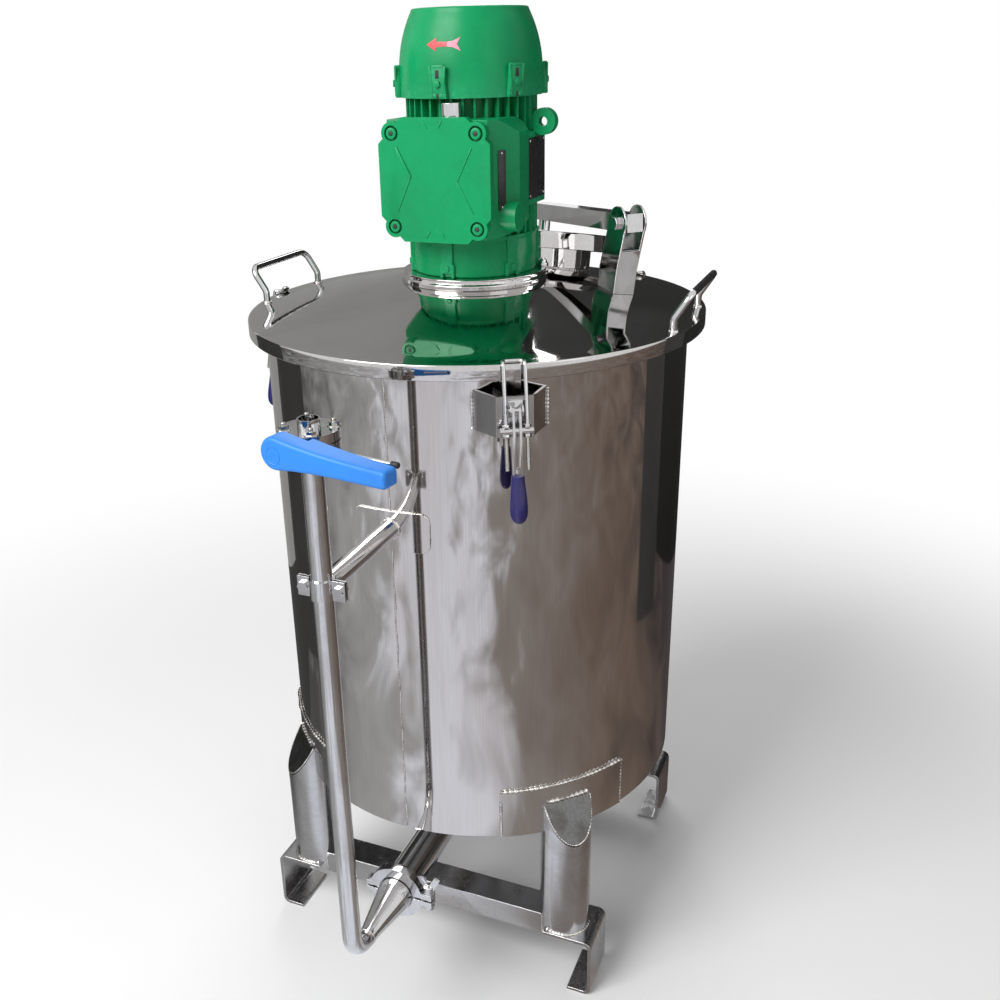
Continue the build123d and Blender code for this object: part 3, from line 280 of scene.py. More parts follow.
# shader groups, each built once and used by several finishes
def addGroup(name, inputs, outputs):
    group = bpy.data.node_groups.new(name, "ShaderNodeTree")
    for label, kind, value in inputs:
        socket = group.interface.new_socket(name=label, in_out="INPUT", socket_type=kind)
        socket.default_value = value
    for label, kind in outputs:
        group.interface.new_socket(name=label, in_out="OUTPUT", socket_type=kind)
    start = group.nodes.new("NodeGroupInput")
    end = group.nodes.new("NodeGroupOutput")
    return group, start, end


def feed(tree, socket, value):
    # another node's output is linked, a number or a colour is set
    if hasattr(value, "is_output"):
        tree.links.new(value, socket)
    else:
        socket.default_value = value


def addNoise(tree, vector, scale, detail=4.0, rough=0.55, distortion=0.0):
    node = tree.nodes.new("ShaderNodeTexNoise")
    for label, value in (("Vector", vector), ("Scale", scale), ("Detail", detail), ("Roughness", rough),
                         ("Distortion", distortion)):
        feed(tree, node.inputs[label], value)
    return node.outputs["Fac"]


def addMath(tree, operation, a, b=0.0, c=0.0):
    node = tree.nodes.new("ShaderNodeMath")
    node.operation = operation
    for socket, value in zip(node.inputs, (a, b, c)):
        feed(tree, socket, value)
    return node.outputs[0]


def addRange(tree, value, low, high, toLow=0.0, toHigh=1.0):
    node = tree.nodes.new("ShaderNodeMapRange")
    node.interpolation_type = "SMOOTHSTEP"
    for label, v in (("Value", value), ("From Min", low), ("From Max", high), ("To Min", toLow), ("To Max", toHigh)):
        feed(tree, node.inputs[label], v)
    return node.outputs["Result"]


def addMix(tree, factor, a, b):
    node = tree.nodes.new("ShaderNodeMix")
    node.data_type = "RGBA"
    for socket, value in ((node.inputs[0], factor), (node.inputs[6], a), (node.inputs[7], b)):
        feed(tree, socket, value)
    return node.outputs[2]


def buildMetalGroup():
    # rubbed steel: fine grain, soft stains and the sheet's long waves
    group, start, end = addGroup("rubbedMetal", [
        ("Metal", "NodeSocketColor", (0.6, 0.6, 0.6, 1)), ("Stain", "NodeSocketColor", (0.4, 0.35, 0.3, 1)),
        ("Grain Stretch", "NodeSocketVector", (900, 900, 12)), ("Stain Stretch", "NodeSocketVector", (6, 6, 1.5)),
        ("Stain Amount", "NodeSocketFloat", 0.5), ("Rough Low", "NodeSocketFloat", 0.1),
        ("Rough High", "NodeSocketFloat", 0.3), ("Grain Depth", "NodeSocketFloat", 1e-6),
        ("Wave Depth", "NodeSocketFloat", 1e-4)],
        [("Color", "NodeSocketColor"), ("Roughness", "NodeSocketFloat"), ("Height", "NodeSocketFloat")])
    place = group.nodes.new("ShaderNodeTexCoord").outputs["Object"]
    maps = []
    for label in ("Grain Stretch", "Stain Stretch"):
        node = group.nodes.new("ShaderNodeMapping")
        group.links.new(place, node.inputs["Vector"])
        group.links.new(start.outputs[label], node.inputs["Scale"])
        maps.append(node.outputs[0])
    grain = addNoise(group, maps[0], 1.0, detail=3.0, rough=0.6)
    stain = addNoise(group, maps[1], 1.0, detail=5.0, rough=0.6, distortion=0.6)
    wave = addNoise(group, maps[1], 0.7, detail=1.0, rough=0.4)
    stainMask = addRange(group, stain, 0.42, 0.72)
    grainMask = addRange(group, grain, 0.3, 0.7)
    tone = addMath(group, "MULTIPLY", stainMask, start.outputs["Stain Amount"])
    streak = addMath(group, "MULTIPLY_ADD", grainMask, 0.16, tone)
    group.links.new(addMix(group, streak, start.outputs["Metal"], start.outputs["Stain"]), end.inputs["Color"])
    both = addMath(group, "MULTIPLY_ADD", stainMask, 0.55, addMath(group, "MULTIPLY", grainMask, 0.45))
    rough = addRange(group, both, 0.0, 1.0, start.outputs["Rough Low"], start.outputs["Rough High"])
    group.links.new(rough, end.inputs["Roughness"])
    deep = addMath(group, "MULTIPLY", grain, start.outputs["Grain Depth"])
    group.links.new(addMath(group, "MULTIPLY_ADD", wave, start.outputs["Wave Depth"], deep), end.inputs["Height"])
    return group


def buildCoatGroup():
    # paint and moulded plastic: mottled tone, orange peel, worn edges and painted shade in the creases
    group, start, end = addGroup("coatedSkin", [
        ("Coat", "NodeSocketColor", (0.1, 0.4, 0.2, 1)), ("Shade", "NodeSocketColor", (0.05, 0.2, 0.1, 1)),
        ("Worn", "NodeSocketColor", (0.4, 0.6, 0.5, 1)), ("Peel Scale", "NodeSocketFloat", 500.0),
        ("Peel Depth", "NodeSocketFloat", 4e-6), ("Rough Low", "NodeSocketFloat", 0.25),
        ("Rough High", "NodeSocketFloat", 0.45), ("Wear", "NodeSocketFloat", 0.3)],
        [("Color", "NodeSocketColor"), ("Roughness", "NodeSocketFloat"), ("Height", "NodeSocketFloat")])
    place = group.nodes.new("ShaderNodeTexCoord").outputs["Object"]
    cloud = addRange(group, addNoise(group, place, 14.0, detail=5.0, rough=0.6, distortion=0.4), 0.35, 0.7)
    peel = addNoise(group, place, start.outputs["Peel Scale"], detail=2.0, rough=0.5)
    fleck = addRange(group, addNoise(group, place, 160.0, detail=4.0, rough=0.7), 0.45, 0.7)
    point = group.nodes.new("ShaderNodeNewGeometry").outputs["Pointiness"]
    edge = addMath(group, "MULTIPLY", addRange(group, point, 0.52, 0.62), start.outputs["Wear"])
    # painted shade: hollow places, found by pointiness, are mixed towards the shade colour
    creaseShade = addRange(group, point, 0.49, 0.42, 0.0, 0.55)
    base = addMix(group, addMath(group, "MULTIPLY", cloud, 0.35), start.outputs["Coat"], start.outputs["Shade"])
    creaseShaded = addMix(group, creaseShade, base, start.outputs["Shade"])
    worn = addMath(group, "MULTIPLY", edge, addMath(group, "MULTIPLY_ADD", fleck, 0.7, 0.3))
    group.links.new(addMix(group, worn, creaseShaded, start.outputs["Worn"]), end.inputs["Color"])
    group.links.new(addRange(group, cloud, 0.0, 1.0, start.outputs["Rough Low"], start.outputs["Rough High"]),
                    end.inputs["Roughness"])
    group.links.new(addMath(group, "MULTIPLY", peel, start.outputs["Peel Depth"]), end.inputs["Height"])
    return group


metalGroup = buildMetalGroup()
coatGroup = buildCoatGroup()


def newFinish(name, group, values, metallic, **shaderValues):
    material = bpy.data.materials.new(name)
    material.use_nodes = True
    tree = material.node_tree
    shader = tree.nodes["Principled BSDF"]
    shader.inputs["Metallic"].default_value = metallic
    for label, value in shaderValues.items():
        shader.inputs[label.replace("_", " ")].default_value = value
    skin = tree.nodes.new("ShaderNodeGroup")
    skin.node_tree = group
    for label, value in values.items():
        skin.inputs[label].default_value = value
    bump = tree.nodes.new("ShaderNodeBump")
    bump.inputs["Strength"].default_value = 1.0
    bump.inputs["Distance"].default_value = 1.0
    tree.links.new(skin.outputs["Color"], shader.inputs["Base Color"])
    tree.links.new(skin.outputs["Roughness"], shader.inputs["Roughness"])
    tree.links.new(skin.outputs["Height"], bump.inputs["Height"])
    tree.links.new(bump.outputs["Normal"], shader.inputs["Normal"])
    return material


def newSteel(name, metal, stain, grain, patches, stained, rough, grainDepth, waveDepth):
    # grain and patches: how finely the rubbed grain and the stains repeat along x, y and z
    return newFinish(name, metalGroup, {
        "Metal": (*metal, 1), "Stain": (*stain, 1), "Grain Stretch": grain, "Stain Stretch": patches,
        "Stain Amount": stained, "Rough Low": rough[0], "Rough High": rough[1], "Grain Depth": grainDepth,
        "Wave Depth": waveDepth}, 1.0)


def newCoat(name, coat, dark, worn, peel, peelDepth, rough, wear, **shaderValues):
    return newFinish(name, coatGroup, {
        "Coat": (*coat, 1), "Shade": (*dark, 1), "Worn": (*worn, 1), "Peel Scale": peel, "Peel Depth": peelDepth,
        "Rough Low": rough[0], "Rough High": rough[1], "Wear": wear}, 0.0, **shaderValues)


steelShell = newSteel(
    "steelShell", metal=(0.60, 0.59, 0.585), stain=(0.42, 0.375, 0.35), grain=(700, 700, 9), patches=(5, 5, 0.9),
    stained=0.6, rough=(0.02, 0.085), grainDepth=1.2e-6, waveDepth=6e-4)
steelLid = newSteel(
    "steelLid", metal=(0.60, 0.59, 0.585), stain=(0.40, 0.37, 0.35), grain=(260, 260, 260), patches=(5, 5, 5),
    stained=0.45, rough=(0.03, 0.09), grainDepth=2e-7, waveDepth=2e-4)
steelFitting = newSteel(
    "steelFitting", metal=(0.62, 0.62, 0.63), stain=(0.40, 0.38, 0.37), grain=(500, 500, 60), patches=(14, 14, 9),
    stained=0.45, rough=(0.06, 0.18), grainDepth=8e-7, waveDepth=3e-5)
steelPlate = newSteel(
    "steelPlate", metal=(0.52, 0.52, 0.53), stain=(0.30, 0.28, 0.27), grain=(90, 90, 700), patches=(11, 11, 11),
    stained=0.6, rough=(0.16, 0.32), grainDepth=1.5e-6, waveDepth=5e-5)
steelWeld = newSteel(
    "steelWeld", metal=(0.78, 0.76, 0.73), stain=(0.30, 0.26, 0.24), grain=(600, 600, 600), patches=(60, 60, 60),
    stained=0.8, rough=(0.16, 0.38), grainDepth=3e-5, waveDepth=3e-4)
# painted shade: the end caps' steel is far darker than the other steel, standing in for the dark they mirror
steelCapPaintedShade = newSteel(
    "steelCapPaintedShade", metal=(0.13, 0.13, 0.13), stain=(0.07, 0.065, 0.06), grain=(260, 260, 260), patches=(30, 30, 30),
    stained=0.6, rough=(0.26, 0.42), grainDepth=1.5e-6, waveDepth=5e-5)
boltSteel = newSteel(
    "boltSteel", metal=(0.55, 0.54, 0.5), stain=(0.25, 0.23, 0.2), grain=(900, 900, 900), patches=(90, 90, 90),
    stained=0.6, rough=(0.18, 0.4), grainDepth=3e-6, waveDepth=1e-5)
motorGreen = newCoat(
    "motorGreen", coat=(0.002, 0.31, 0.105), dark=(0.001, 0.15, 0.05), worn=(0.08, 0.50, 0.28), peel=380.0,
    peelDepth=1.6e-5, rough=(0.26, 0.42), wear=0.45, Coat_Weight=0.06, Coat_Roughness=0.25, Specular_IOR_Level=0.2)
leverBlue = newCoat(
    "leverBlue", coat=(0.02, 0.24, 0.80), dark=(0.012, 0.14, 0.55), worn=(0.12, 0.40, 0.90), peel=1400.0,
    peelDepth=7e-6, rough=(0.42, 0.55), wear=0.35)
gripViolet = newCoat(
    "gripViolet", coat=(0.020, 0.016, 0.125), dark=(0.008, 0.007, 0.05), worn=(0.1, 0.09, 0.32), peel=1100.0,
    peelDepth=5e-6, rough=(0.2, 0.34), wear=0.3)
plateBlack = newCoat(
    "plateBlack", coat=(0.012, 0.012, 0.013), dark=(0.005, 0.005, 0.005), worn=(0.2, 0.2, 0.2), peel=900.0,
    peelDepth=3e-6, rough=(0.25, 0.4), wear=0.3)
# black for the gasket and the trigger tip, and for the painted shade on the screw heads and the cowl clips
blackSealAndShade = newCoat(
    "blackSealAndShade", coat=(0.02, 0.02, 0.02), dark=(0.01, 0.01, 0.01), worn=(0.06, 0.06, 0.06), peel=1200.0,
    peelDepth=8e-6, rough=(0.5, 0.7), wear=0.2)
arrowRed = newCoat(
    "arrowRed", coat=(0.72, 0.03, 0.045), dark=(0.62, 0.12, 0.13), worn=(0.8, 0.35, 0.36), peel=500.0,
    peelDepth=6e-6, rough=(0.35, 0.5), wear=0.4)
arrowFaded = newCoat(
    "arrowFaded", coat=(0.76, 0.25, 0.36), dark=(0.7, 0.38, 0.42), worn=(0.8, 0.5, 0.52), peel=500.0, peelDepth=6e-6,
    rough=(0.35, 0.5), wear=0.4)
print("finishes ready")

# vessel
shellSize = {"radius": 0.300, "wall": 0.003, "low": 0.271, "high": 0.963, "steps": 256, "edge": 0.0006,
             "skin": 0.3003, "seamBead": 0.0014, "seamPoints": 68, "seamStep": 0.01, "seamWaver": 0.0006}


def shellDepth(x):
    # how far out the shell's skin lies at a sideways distance from the middle
    return (shellSize["skin"] ** 2 - x * x) ** 0.5


def buildShell(s):
    inner = s["radius"] - s["wall"]
    bm = bmesh.new()
    addTurned(bm, [(s["radius"] - s["edge"], s["low"]), (s["radius"], s["low"] + s["edge"]),
                   (s["radius"], s["high"]), (inner, s["high"]), (inner, s["low"] + s["edge"]),
                   (inner + s["edge"], s["low"])], steps=s["steps"])
    standIn("shell", "shellSkin", bm, steelShell, sharp=35)
    seam = [Vector((s["seamWaver"] * sin(k * 0.9), -s["radius"] + 0.0001, s["low"] + 0.004 + k * s["seamStep"]))
            for k in range(s["seamPoints"])]
    weldBead("shellSeam", seam, s["seamBead"], rough=0.35)


buildShell(shellSize)
dress("tank_rim", steelFitting, soften=0.0006)
dress("bottom", steelPlate, soften=0.0004)

lidSize = {"hole": 0.040, "seat": 0.104, "coneStart": 0.3051, "edge": 0.3231, "wall": 0.003, "top": 0.972,
           "rise": 0.040, "skirt": 0.0196, "round": 0.0016, "lip": 0.0008, "steps": 288, "sharp": 28}
coneSlope = lidSize["rise"] / (lidSize["coneStart"] - lidSize["seat"])


def lidHeight(radius):
    return lidSize["top"] + lidSize["rise"] - (radius - lidSize["seat"]) * coneSlope


portSize = {"angle": 81.0, "radius": 0.197, "hole": 0.0737, "weld": 0.0772, "bead": 0.0018}
portOut = around(portSize["angle"], 1, 0)
portLean = atan(coneSlope)
portNormal = portOut * sin(portLean) + Vector((0, 0, cos(portLean)))
portFoot = portOut * portSize["radius"] + Vector((0, 0, lidHeight(portSize["radius"])))
portPlace = facing(portFoot, portNormal)


def buildLid(s):
    top, low, wall, r, lip = s["top"], s["top"] - s["skirt"], s["wall"], s["round"], s["lip"]
    high, inside = top + s["rise"], s["edge"] - wall
    rows = [(s["seat"] + (s["coneStart"] - s["seat"]) * k / 8, high - s["rise"] * k / 8) for k in range(9)]
    corner = [(s["edge"] - r + r * sin(a), top - r + r * cos(a)) for a in (0, pi / 8, pi / 4, 3 * pi / 8, pi / 2)]
    outline = [(s["hole"], high)] + rows + corner
    outline += [(s["edge"], low + lip), (s["edge"] - lip, low), (inside, low), (inside, top - wall),
                (s["coneStart"], top - wall), (s["seat"], high - wall), (s["hole"], high - wall)]
    bm = bmesh.new()
    addTurned(bm, outline, steps=s["steps"])
    lid = standIn("lid", "lidSkin", bm, steelLid, sharp=s["sharp"])
    hole = bmesh.new()
    addRod(hole, 96, portSize["hole"], 0.06, portPlace)
    carve(lid, hole, s["sharp"])


buildLid(lidSize)
handleSize = {"radius": 0.303, "rod": 0.00475, "half": 0.075, "height": 0.0485, "lean": 0.021, "knee": 0.0161,
              "bend": 0.014, "weld": 0.0056, "bead": 0.0015}


def buildHandle(side, s):
    reach, lean = (s["radius"], s["lean"]) if side == "right" else (-s["radius"], -s["lean"])
    base = lidHeight(s["radius"])
    points = [(reach, -s["half"], base - 0.001), (reach, -s["half"], base + s["knee"]),
              (reach + lean, -s["half"], base + s["height"]), (reach + lean, s["half"], base + s["height"]),
              (reach, s["half"], base + s["knee"]), (reach, s["half"], base - 0.001)]
    bm = bmesh.new()
    addPipe(bm, filleted(points, [s["bend"]] * 4), s["rod"], sides=40)
    standIn("lid_handle_" + side, "lidHandle_" + side, bm, steelFitting, sharp=60)
    for end, label in ((-1, "Near"), (1, "Far")):
        ring = ringPath((reach, end * s["half"], lidSize["top"] + 0.0006), (0, 0, 1), s["weld"], 20, turn=pi)
        weldBead("handleWeld_" + side + label, ring, s["bead"], closed=True, rough=0.4)


for side in ("left", "right"):
    buildHandle(side, handleSize)
print("vessel done")

# charge port
for node, edge in {"port_neck": 0.0006, "port_bracket": 0.0007, "port_pivot": 0.0006, "port_arm": 0.0008}.items():
    dress(node, steelLid if node == "port_neck" else steelFitting, soften=edge)

coverSize = {"radius": 0.112, "wall": 0.003, "height": 0.025, "seat": 0.049, "round": 0.0022, "drop": 0.0004,
             "lip": 0.0008, "steps": 160, "gasket": 0.1055, "gasketDepth": 0.005}


def buildPortCover(s):
    high = s["seat"] + s["wall"]
    low, inside, r = high - s["height"], s["radius"] - s["wall"], s["round"]
    outline = [(0, high), (s["radius"] - 0.012, high), (s["radius"] - 0.006, high - 0.0003)]
    outline += [(s["radius"] - r + r * sin(a), high - s["drop"] - r + r * cos(a)) for a in (0.2, 0.7, 1.2, pi / 2)]
    outline += [(s["radius"], low + s["lip"]), (s["radius"] - s["lip"], low), (inside, low), (inside, s["seat"]),
                (0, s["seat"])]
    bm = bmesh.new()
    addTurned(bm, outline, steps=s["steps"], place=portPlace, closed=False)
    standIn("port_cover", "portCoverSkin", bm, steelLid, sharp=30)
    top, bottom = s["seat"] - 0.0005, s["seat"] - s["gasketDepth"]
    gasket = bmesh.new()
    addTurned(gasket, [(inside - 0.0002, top), (inside - 0.0002, bottom), (s["gasket"], bottom), (s["gasket"], top)],
              steps=96, place=portPlace)
    keepBm("portGasket", gasket, blackSealAndShade, sharp=35)


buildPortCover(coverSize)
neckRing = [Vector((p.x, p.y, lidHeight(hypot(p.x, p.y)) + 0.0008))
            for p in ringPath(portFoot, portNormal, portSize["weld"], 72)]
weldBead("portNeckWeld", neckRing, portSize["bead"], closed=True, rough=0.35)
print("charge port done")

# motor: the solids' finishes with their softened edges, then the cowl and the cast and bolted details
for node, (material, edge, sharp) in {
        "motor_seat": (steelLid, 0.0012, 35), "motor_flange": (motorGreen, 0.0012, 35),
        "motor_frame": (motorGreen, 0.0009, 30), "box_cover": (motorGreen, 0.0014, 35),
        "box_plug": (steelFitting, 0.0008, 35), "lifting_eye": (motorGreen, 0.0028, 35),
        "agitator_shaft": (steelFitting, 0.0, 35), "impeller": (steelFitting, 0.0006, 35),
        "terminal_box": (motorGreen, 0.0045, 25)}.items():
    dress(node, material, edge, sharp)

cowlSize = {"radius": 0.095, "low": 1.254, "straight": 1.284, "top": 1.361, "edge": 0.0035, "bow": 0.161,
            "wall": 0.003, "steps": 144, "sharp": 30, "clipLow": 0.0125, "clipHigh": 0.0085, "clipTall": 0.040,
            "clipOut": 0.006, "clipEdge": 0.0012, "hole": 0.0034, "rings": 5, "pitch": 0.011}
lugAngles = [-32.5 + 60.0 * k for k in range(6)]


def cowlRadiusAt(z, s):
    rise = max(0.0, z - s["straight"])
    return s["radius"] - s["bow"] + (s["bow"] ** 2 - rise ** 2) ** 0.5


def buildCowl(s):
    # a spun cowl with a bowed upper half, air holes in its top and tapered clips round its skirt
    shoulder = s["top"] - s["edge"]
    rows = [s["straight"] + (shoulder - s["straight"]) * k / 14 for k in range(15)]
    outer = [(cowlRadiusAt(z, s), z) for z in rows]
    rim = outer[-1][0] - s["edge"]
    outer += [(rim + s["edge"] * cos(a), shoulder + s["edge"] * sin(a)) for a in (0.4, 0.8, 1.2, pi / 2)]
    inner = [(cowlRadiusAt(z, s) - s["wall"], z) for z in rows]
    outline = [(s["radius"], s["low"])] + outer + [(0, s["top"]), (0, s["top"] - s["wall"])]
    outline += [(rim - 0.001, s["top"] - s["wall"])] + inner[::-1] + [(s["radius"] - s["wall"], s["low"])]
    bm = bmesh.new()
    addTurned(bm, outline, steps=s["steps"])
    for angle in lugAngles:
        clip = bmesh.ops.create_cube(bm, size=1.0)["verts"]
        for v in clip:
            width = 2 * (s["clipLow"] if v.co.z < 0 else s["clipHigh"])
            out = s["radius"] + (-0.001 if v.co.y < 0 else s["clipOut"])
            rise = (v.co.z + 0.5) * s["clipTall"]
            v.co = around(angle, out, s["low"] + rise) + around(angle - 90, v.co.x * width, 0)
        bm.normal_update()  # the bevel goes by the faces' directions
        bevelAll(bm, clip, s["clipEdge"])
    cowl = standIn("fan_cowl", "cowlSkin", bm, motorGreen, sharp=s["sharp"])
    holes = bmesh.new()
    for ring in range(1, s["rings"] + 1):
        for k in range(6 * ring):
            at = around(360 * k / (6 * ring), ring * s["pitch"], s["top"])
            addRod(holes, 14, s["hole"], 0.012, Matrix.Translation(at))
    carve(cowl, holes, s["sharp"])


# details on a lug, as (size, (sideways, outward, up), lean, edge); bolts as (across, height, outward, up)
clipSize = {"radius": cowlSize["radius"] + cowlSize["clipOut"], "low": cowlSize["low"], "boltTurn": 0.3,
            "bolt": (0.0082, 0.0030, -0.0001, 0.0175), "rims": (
                ((0.0034, 0.0028, 0.037), (-0.0088, -0.0008, 0.0205), -0.098, 0.0009),
                ((0.0092, 0.0028, 0.0055), (-0.0062, -0.0008, 0.0035), 0.0, 0.0012),
                ((0.0034, 0.0028, 0.037), (0.0088, -0.0008, 0.0205), 0.098, 0.0009),
                ((0.0092, 0.0028, 0.0055), (0.0062, -0.0008, 0.0035), 0.0, 0.0012),
                ((0.0135, 0.0026, 0.0034), (0.0, -0.0010, 0.0375), 0.0, 0.0010)),
            # slot shades: thin black plates on the clips, painted shade standing for the dark inside each slot
            "slotShade": (((0.0052, 0.0008, 0.010), (0.0, -0.0001, 0.0290), 0.0, 0.0003),
                      ((0.0030, 0.0008, 0.006), (0.0, -0.0001, 0.0035), 0.0, 0.0003))}
shieldSize = {"radius": 0.086, "low": 1.026, "boltTurn": 0.3, "bolt": (0.0075, 0.0028, 0.0030, 0.0125),
              "boltless": 87.5, "feet": (
                  ((0.0045, 0.007, 0.018), (-0.0082, 0.0005, 0.0095), 0.0, 0.0012),
                  ((0.0045, 0.007, 0.018), (0.0082, 0.0005, 0.0095), 0.0, 0.0012),
                  ((0.016, 0.006, 0.005), (0.0, 0.0003, 0.0115), 0.0, 0.0012))}


def buildLugBlocks(name, s, kind, material):
    bm = bmesh.new()
    for angle in lugAngles:
        outward, across = outAndAcross(angle)
        for size, (sideways, out, up), lean, edge in s[kind]:
            at = outward * (s["radius"] + out) + across * sideways + Vector((0, 0, s["low"] + up))
            addBlock(bm, size, upright(at, across, outward) @ Matrix.Rotation(lean, 4, "Y"), edge)
    keepBm(name, bm, material)


def buildLugBolts(name, s):
    bm = bmesh.new()
    across, height, out, up = s["bolt"]
    for angle in lugAngles:
        if angle % 360 != s.get("boltless"):
            at = around(angle, s["radius"] + out, s["low"] + up)
            addHex(bm, across, height, facing(at, around(angle, 1, 0), s["boltTurn"]))
    keepBm(name, bm, motorGreen)


boxSize = {"front": -0.130, "centre": 1.157, "boltHalf": 0.058, "head": 0.0066, "headTall": 0.0052, "socket": 0.0056,
           "ridge": 0.0022, "ridgeTall": 0.0020, "bold": 1.8, "boldRidges": (((-0.052, 1.198), (-0.033, 1.162)),),
           "ridges": (((-0.033, 1.162), (-0.053, 1.118)), ((0.0315, 1.157), (0.053, 1.118)),
                      ((0.0315, 1.157), (0.052, 1.198)), ((-0.0135, 1.229), (-0.008, 1.2215)),
                      ((0.0125, 1.230), (0.0075, 1.2215)), ((-0.0135, 1.0865), (-0.008, 1.094)),
                      ((0.0125, 1.0865), (0.0075, 1.094)))}


def buildCoverDetails(s):
    screws, socketShades = bmesh.new(), bmesh.new()
    for x in (-s["boltHalf"], s["boltHalf"]):
        for z in (s["centre"] - s["boltHalf"], s["centre"] + s["boltHalf"]):
            at = Vector((x, s["front"] + 0.0005, z))
            addSocketScrew(screws, at + Vector((0, 0.004, 0)), (0, -1, 0), s["head"], s["headTall"])
            # painted shade: a flat black hexagon on each screw head stands for the dark of its socket
            addHex(socketShades, s["socket"], 0.0008, facing(at - Vector((0, 0.0007, 0)), (0, -1, 0), 0.2), edge=0.0001)
    keepBm("coverScrews", screws, motorGreen)
    keepBm("coverSocketShade", socketShades, blackSealAndShade)
    ridges = bmesh.new()
    inward = Vector((0, 1, 0))
    for (x0, z0), (x1, z1) in s["boldRidges"] + s["ridges"]:
        a, b = Vector((x0, s["front"], z0)), Vector((x1, s["front"], z1))
        along = (b - a).normalized()
        turn = Matrix((along, inward, along.cross(inward))).transposed().to_4x4()
        bold = s["bold"] if ((x0, z0), (x1, z1)) in s["boldRidges"] else 1.0
        addBlock(ridges, ((b - a).length + 0.001, s["ridge"] * bold, s["ridgeTall"] * bold),
                 Matrix.Translation((a + b) / 2) @ turn, 0.0008)
    keepBm("coverRidges", ridges, motorGreen)


# a rating plate on a pad at the fin tips, and a narrow plate beside the terminal box
plateSize = {"x": 0.088, "z": 1.163, "pad": (0.010, 0.072, 0.094), "plate": (0.0012, 0.062, 0.078), "rivetY": 0.027,
             "rivetZ": (1.128, 1.198), "narrow": (0.0125, 0.0012, 0.074), "narrowAt": (0.0796, -0.0975, 1.156),
             "narrowFace": (36, -19, 0), "narrowRivet": 0.033,
             "rivet": [(0, 0.0012), (0.0008, 0.0011), (0.0014, 0.0006), (0.0016, 0)]}


def buildPlates(s):
    pad, plate, rivets = bmesh.new(), bmesh.new(), bmesh.new()
    addBlock(pad, s["pad"], Matrix.Translation((s["x"] - 0.001, 0, s["z"])), 0.002)
    addBlock(plate, s["plate"], Matrix.Translation((s["x"] + 0.0044, 0, s["z"])), 0.0004)
    at, face = Vector(s["narrowAt"]), Vector(s["narrowFace"]).normalized()
    across = Vector((-face.y, face.x, 0))
    addBlock(plate, s["narrow"], upright(at + face * 0.0004, across, face), 0.0004)
    seats = [facing((s["x"] + 0.005, y, z), (1, 0, 0)) for y in (-s["rivetY"], s["rivetY"]) for z in s["rivetZ"]]
    seats += [facing(at + face * 0.001 + Vector((0, 0, dz)), face) for dz in (-s["narrowRivet"], s["narrowRivet"])]
    for place in seats:
        addTurned(rivets, s["rivet"], steps=16, place=place, closed=False)
    keepBm("platePad", pad, motorGreen)
    keepBm("blackPlates", plate, plateBlack)
    keepBm("plateRivets", rivets, boltSteel, sharp=60)


# the outlines of the two stickers run from the tip at 0 to the tail at 1
arrowSize = {"left": -104.0, "right": -75.2, "z": 1.3175, "height": 0.0155, "lift": 0.0004, "thick": 0.0003,
             "head": [(0.0, 0.0), (0.30, 0.5), (0.30, 0.2), (0.62, 0.16), (0.62, -0.16), (0.30, -0.2), (0.30, -0.5)],
             "tail": [(0.625, 0.17), (0.80, 0.24), (1.0, 0.5), (0.90, 0.0), (1.0, -0.5), (0.80, -0.24),
                      (0.625, -0.17)]}


def buildArrow(name, outline, material, s):
    # a sticker bent round the cowl
    bm = bmesh.new()
    face = bm.faces.new([bm.verts.new((u, v, 0)) for u, v in outline])
    bmesh.ops.triangulate(bm, faces=[face])
    sliceAcross(bm, [k / 16 for k in range(1, 16)])
    for v in bm.verts:
        angle = s["left"] + (s["right"] - s["left"]) * v.co.x
        z = s["z"] + v.co.y * s["height"]
        v.co = around(angle, cowlRadiusAt(z, cowlSize) + s["lift"], z)
    bmesh.ops.solidify(bm, geom=bm.faces[:], thickness=s["thick"])
    keepBm(name, bm, material, sharp=60)


nutSize = {"angle": 17.0, "radius": 0.0965, "z": 1.026, "across": 0.013, "height": 0.005,
           "dome": [(0.0055, 0.0045), (0.0055, 0.0065), (0.0045, 0.0092), (0.0025, 0.0108), (0, 0.0112)]}


def buildSeatNut(s):
    bm = bmesh.new()
    place = facing(around(s["angle"], s["radius"], s["z"]), (0, 0, 1))
    addHex(bm, s["across"], s["height"], place)
    addTurned(bm, s["dome"], steps=24, place=place, closed=False)
    keepBm("seatDomeNut", bm, steelFitting)


buildCowl(cowlSize)
buildLugBlocks("cowlClipRims", clipSize, "rims", motorGreen)
buildLugBolts("cowlBolts", clipSize)
buildLugBlocks("cowlClipSlotShade", clipSize, "slotShade", blackSealAndShade)
buildLugBlocks("shieldFeet", shieldSize, "feet", motorGreen)
buildLugBolts("shieldBolts", shieldSize)
buildCoverDetails(boxSize)
buildPlates(plateSize)
buildArrow("arrowHead", arrowSize["head"], arrowRed, arrowSize)
buildArrow("arrowTail", arrowSize["tail"], arrowFaded, arrowSize)
buildSeatNut(nutSize)
print("motor done")

# stand
legNames = {"front_right": -45.0, "rear_right": 45.0, "rear_left": 135.0, "front_left": -135.0}
standSize = {"padLow": 0.271, "padHigh": 0.348, "padRadius": 0.303, "padHalf": 18.5, "legRadius": 0.0365,
             "legReach": 0.2998, "lip": 0.258, "capTop": 0.318, "capHalf": 0.031, "bead": 0.0030, "capBead": 0.0016,
             "footWeld": 0.0372, "footTop": 0.0992, "footClear": 0.1935, "footBead": 0.0019, "railX": 0.1845,
             "railY": {"A": 0.189, "B": 0.235}, "railLow": 0.079, "railStep": 0.006}


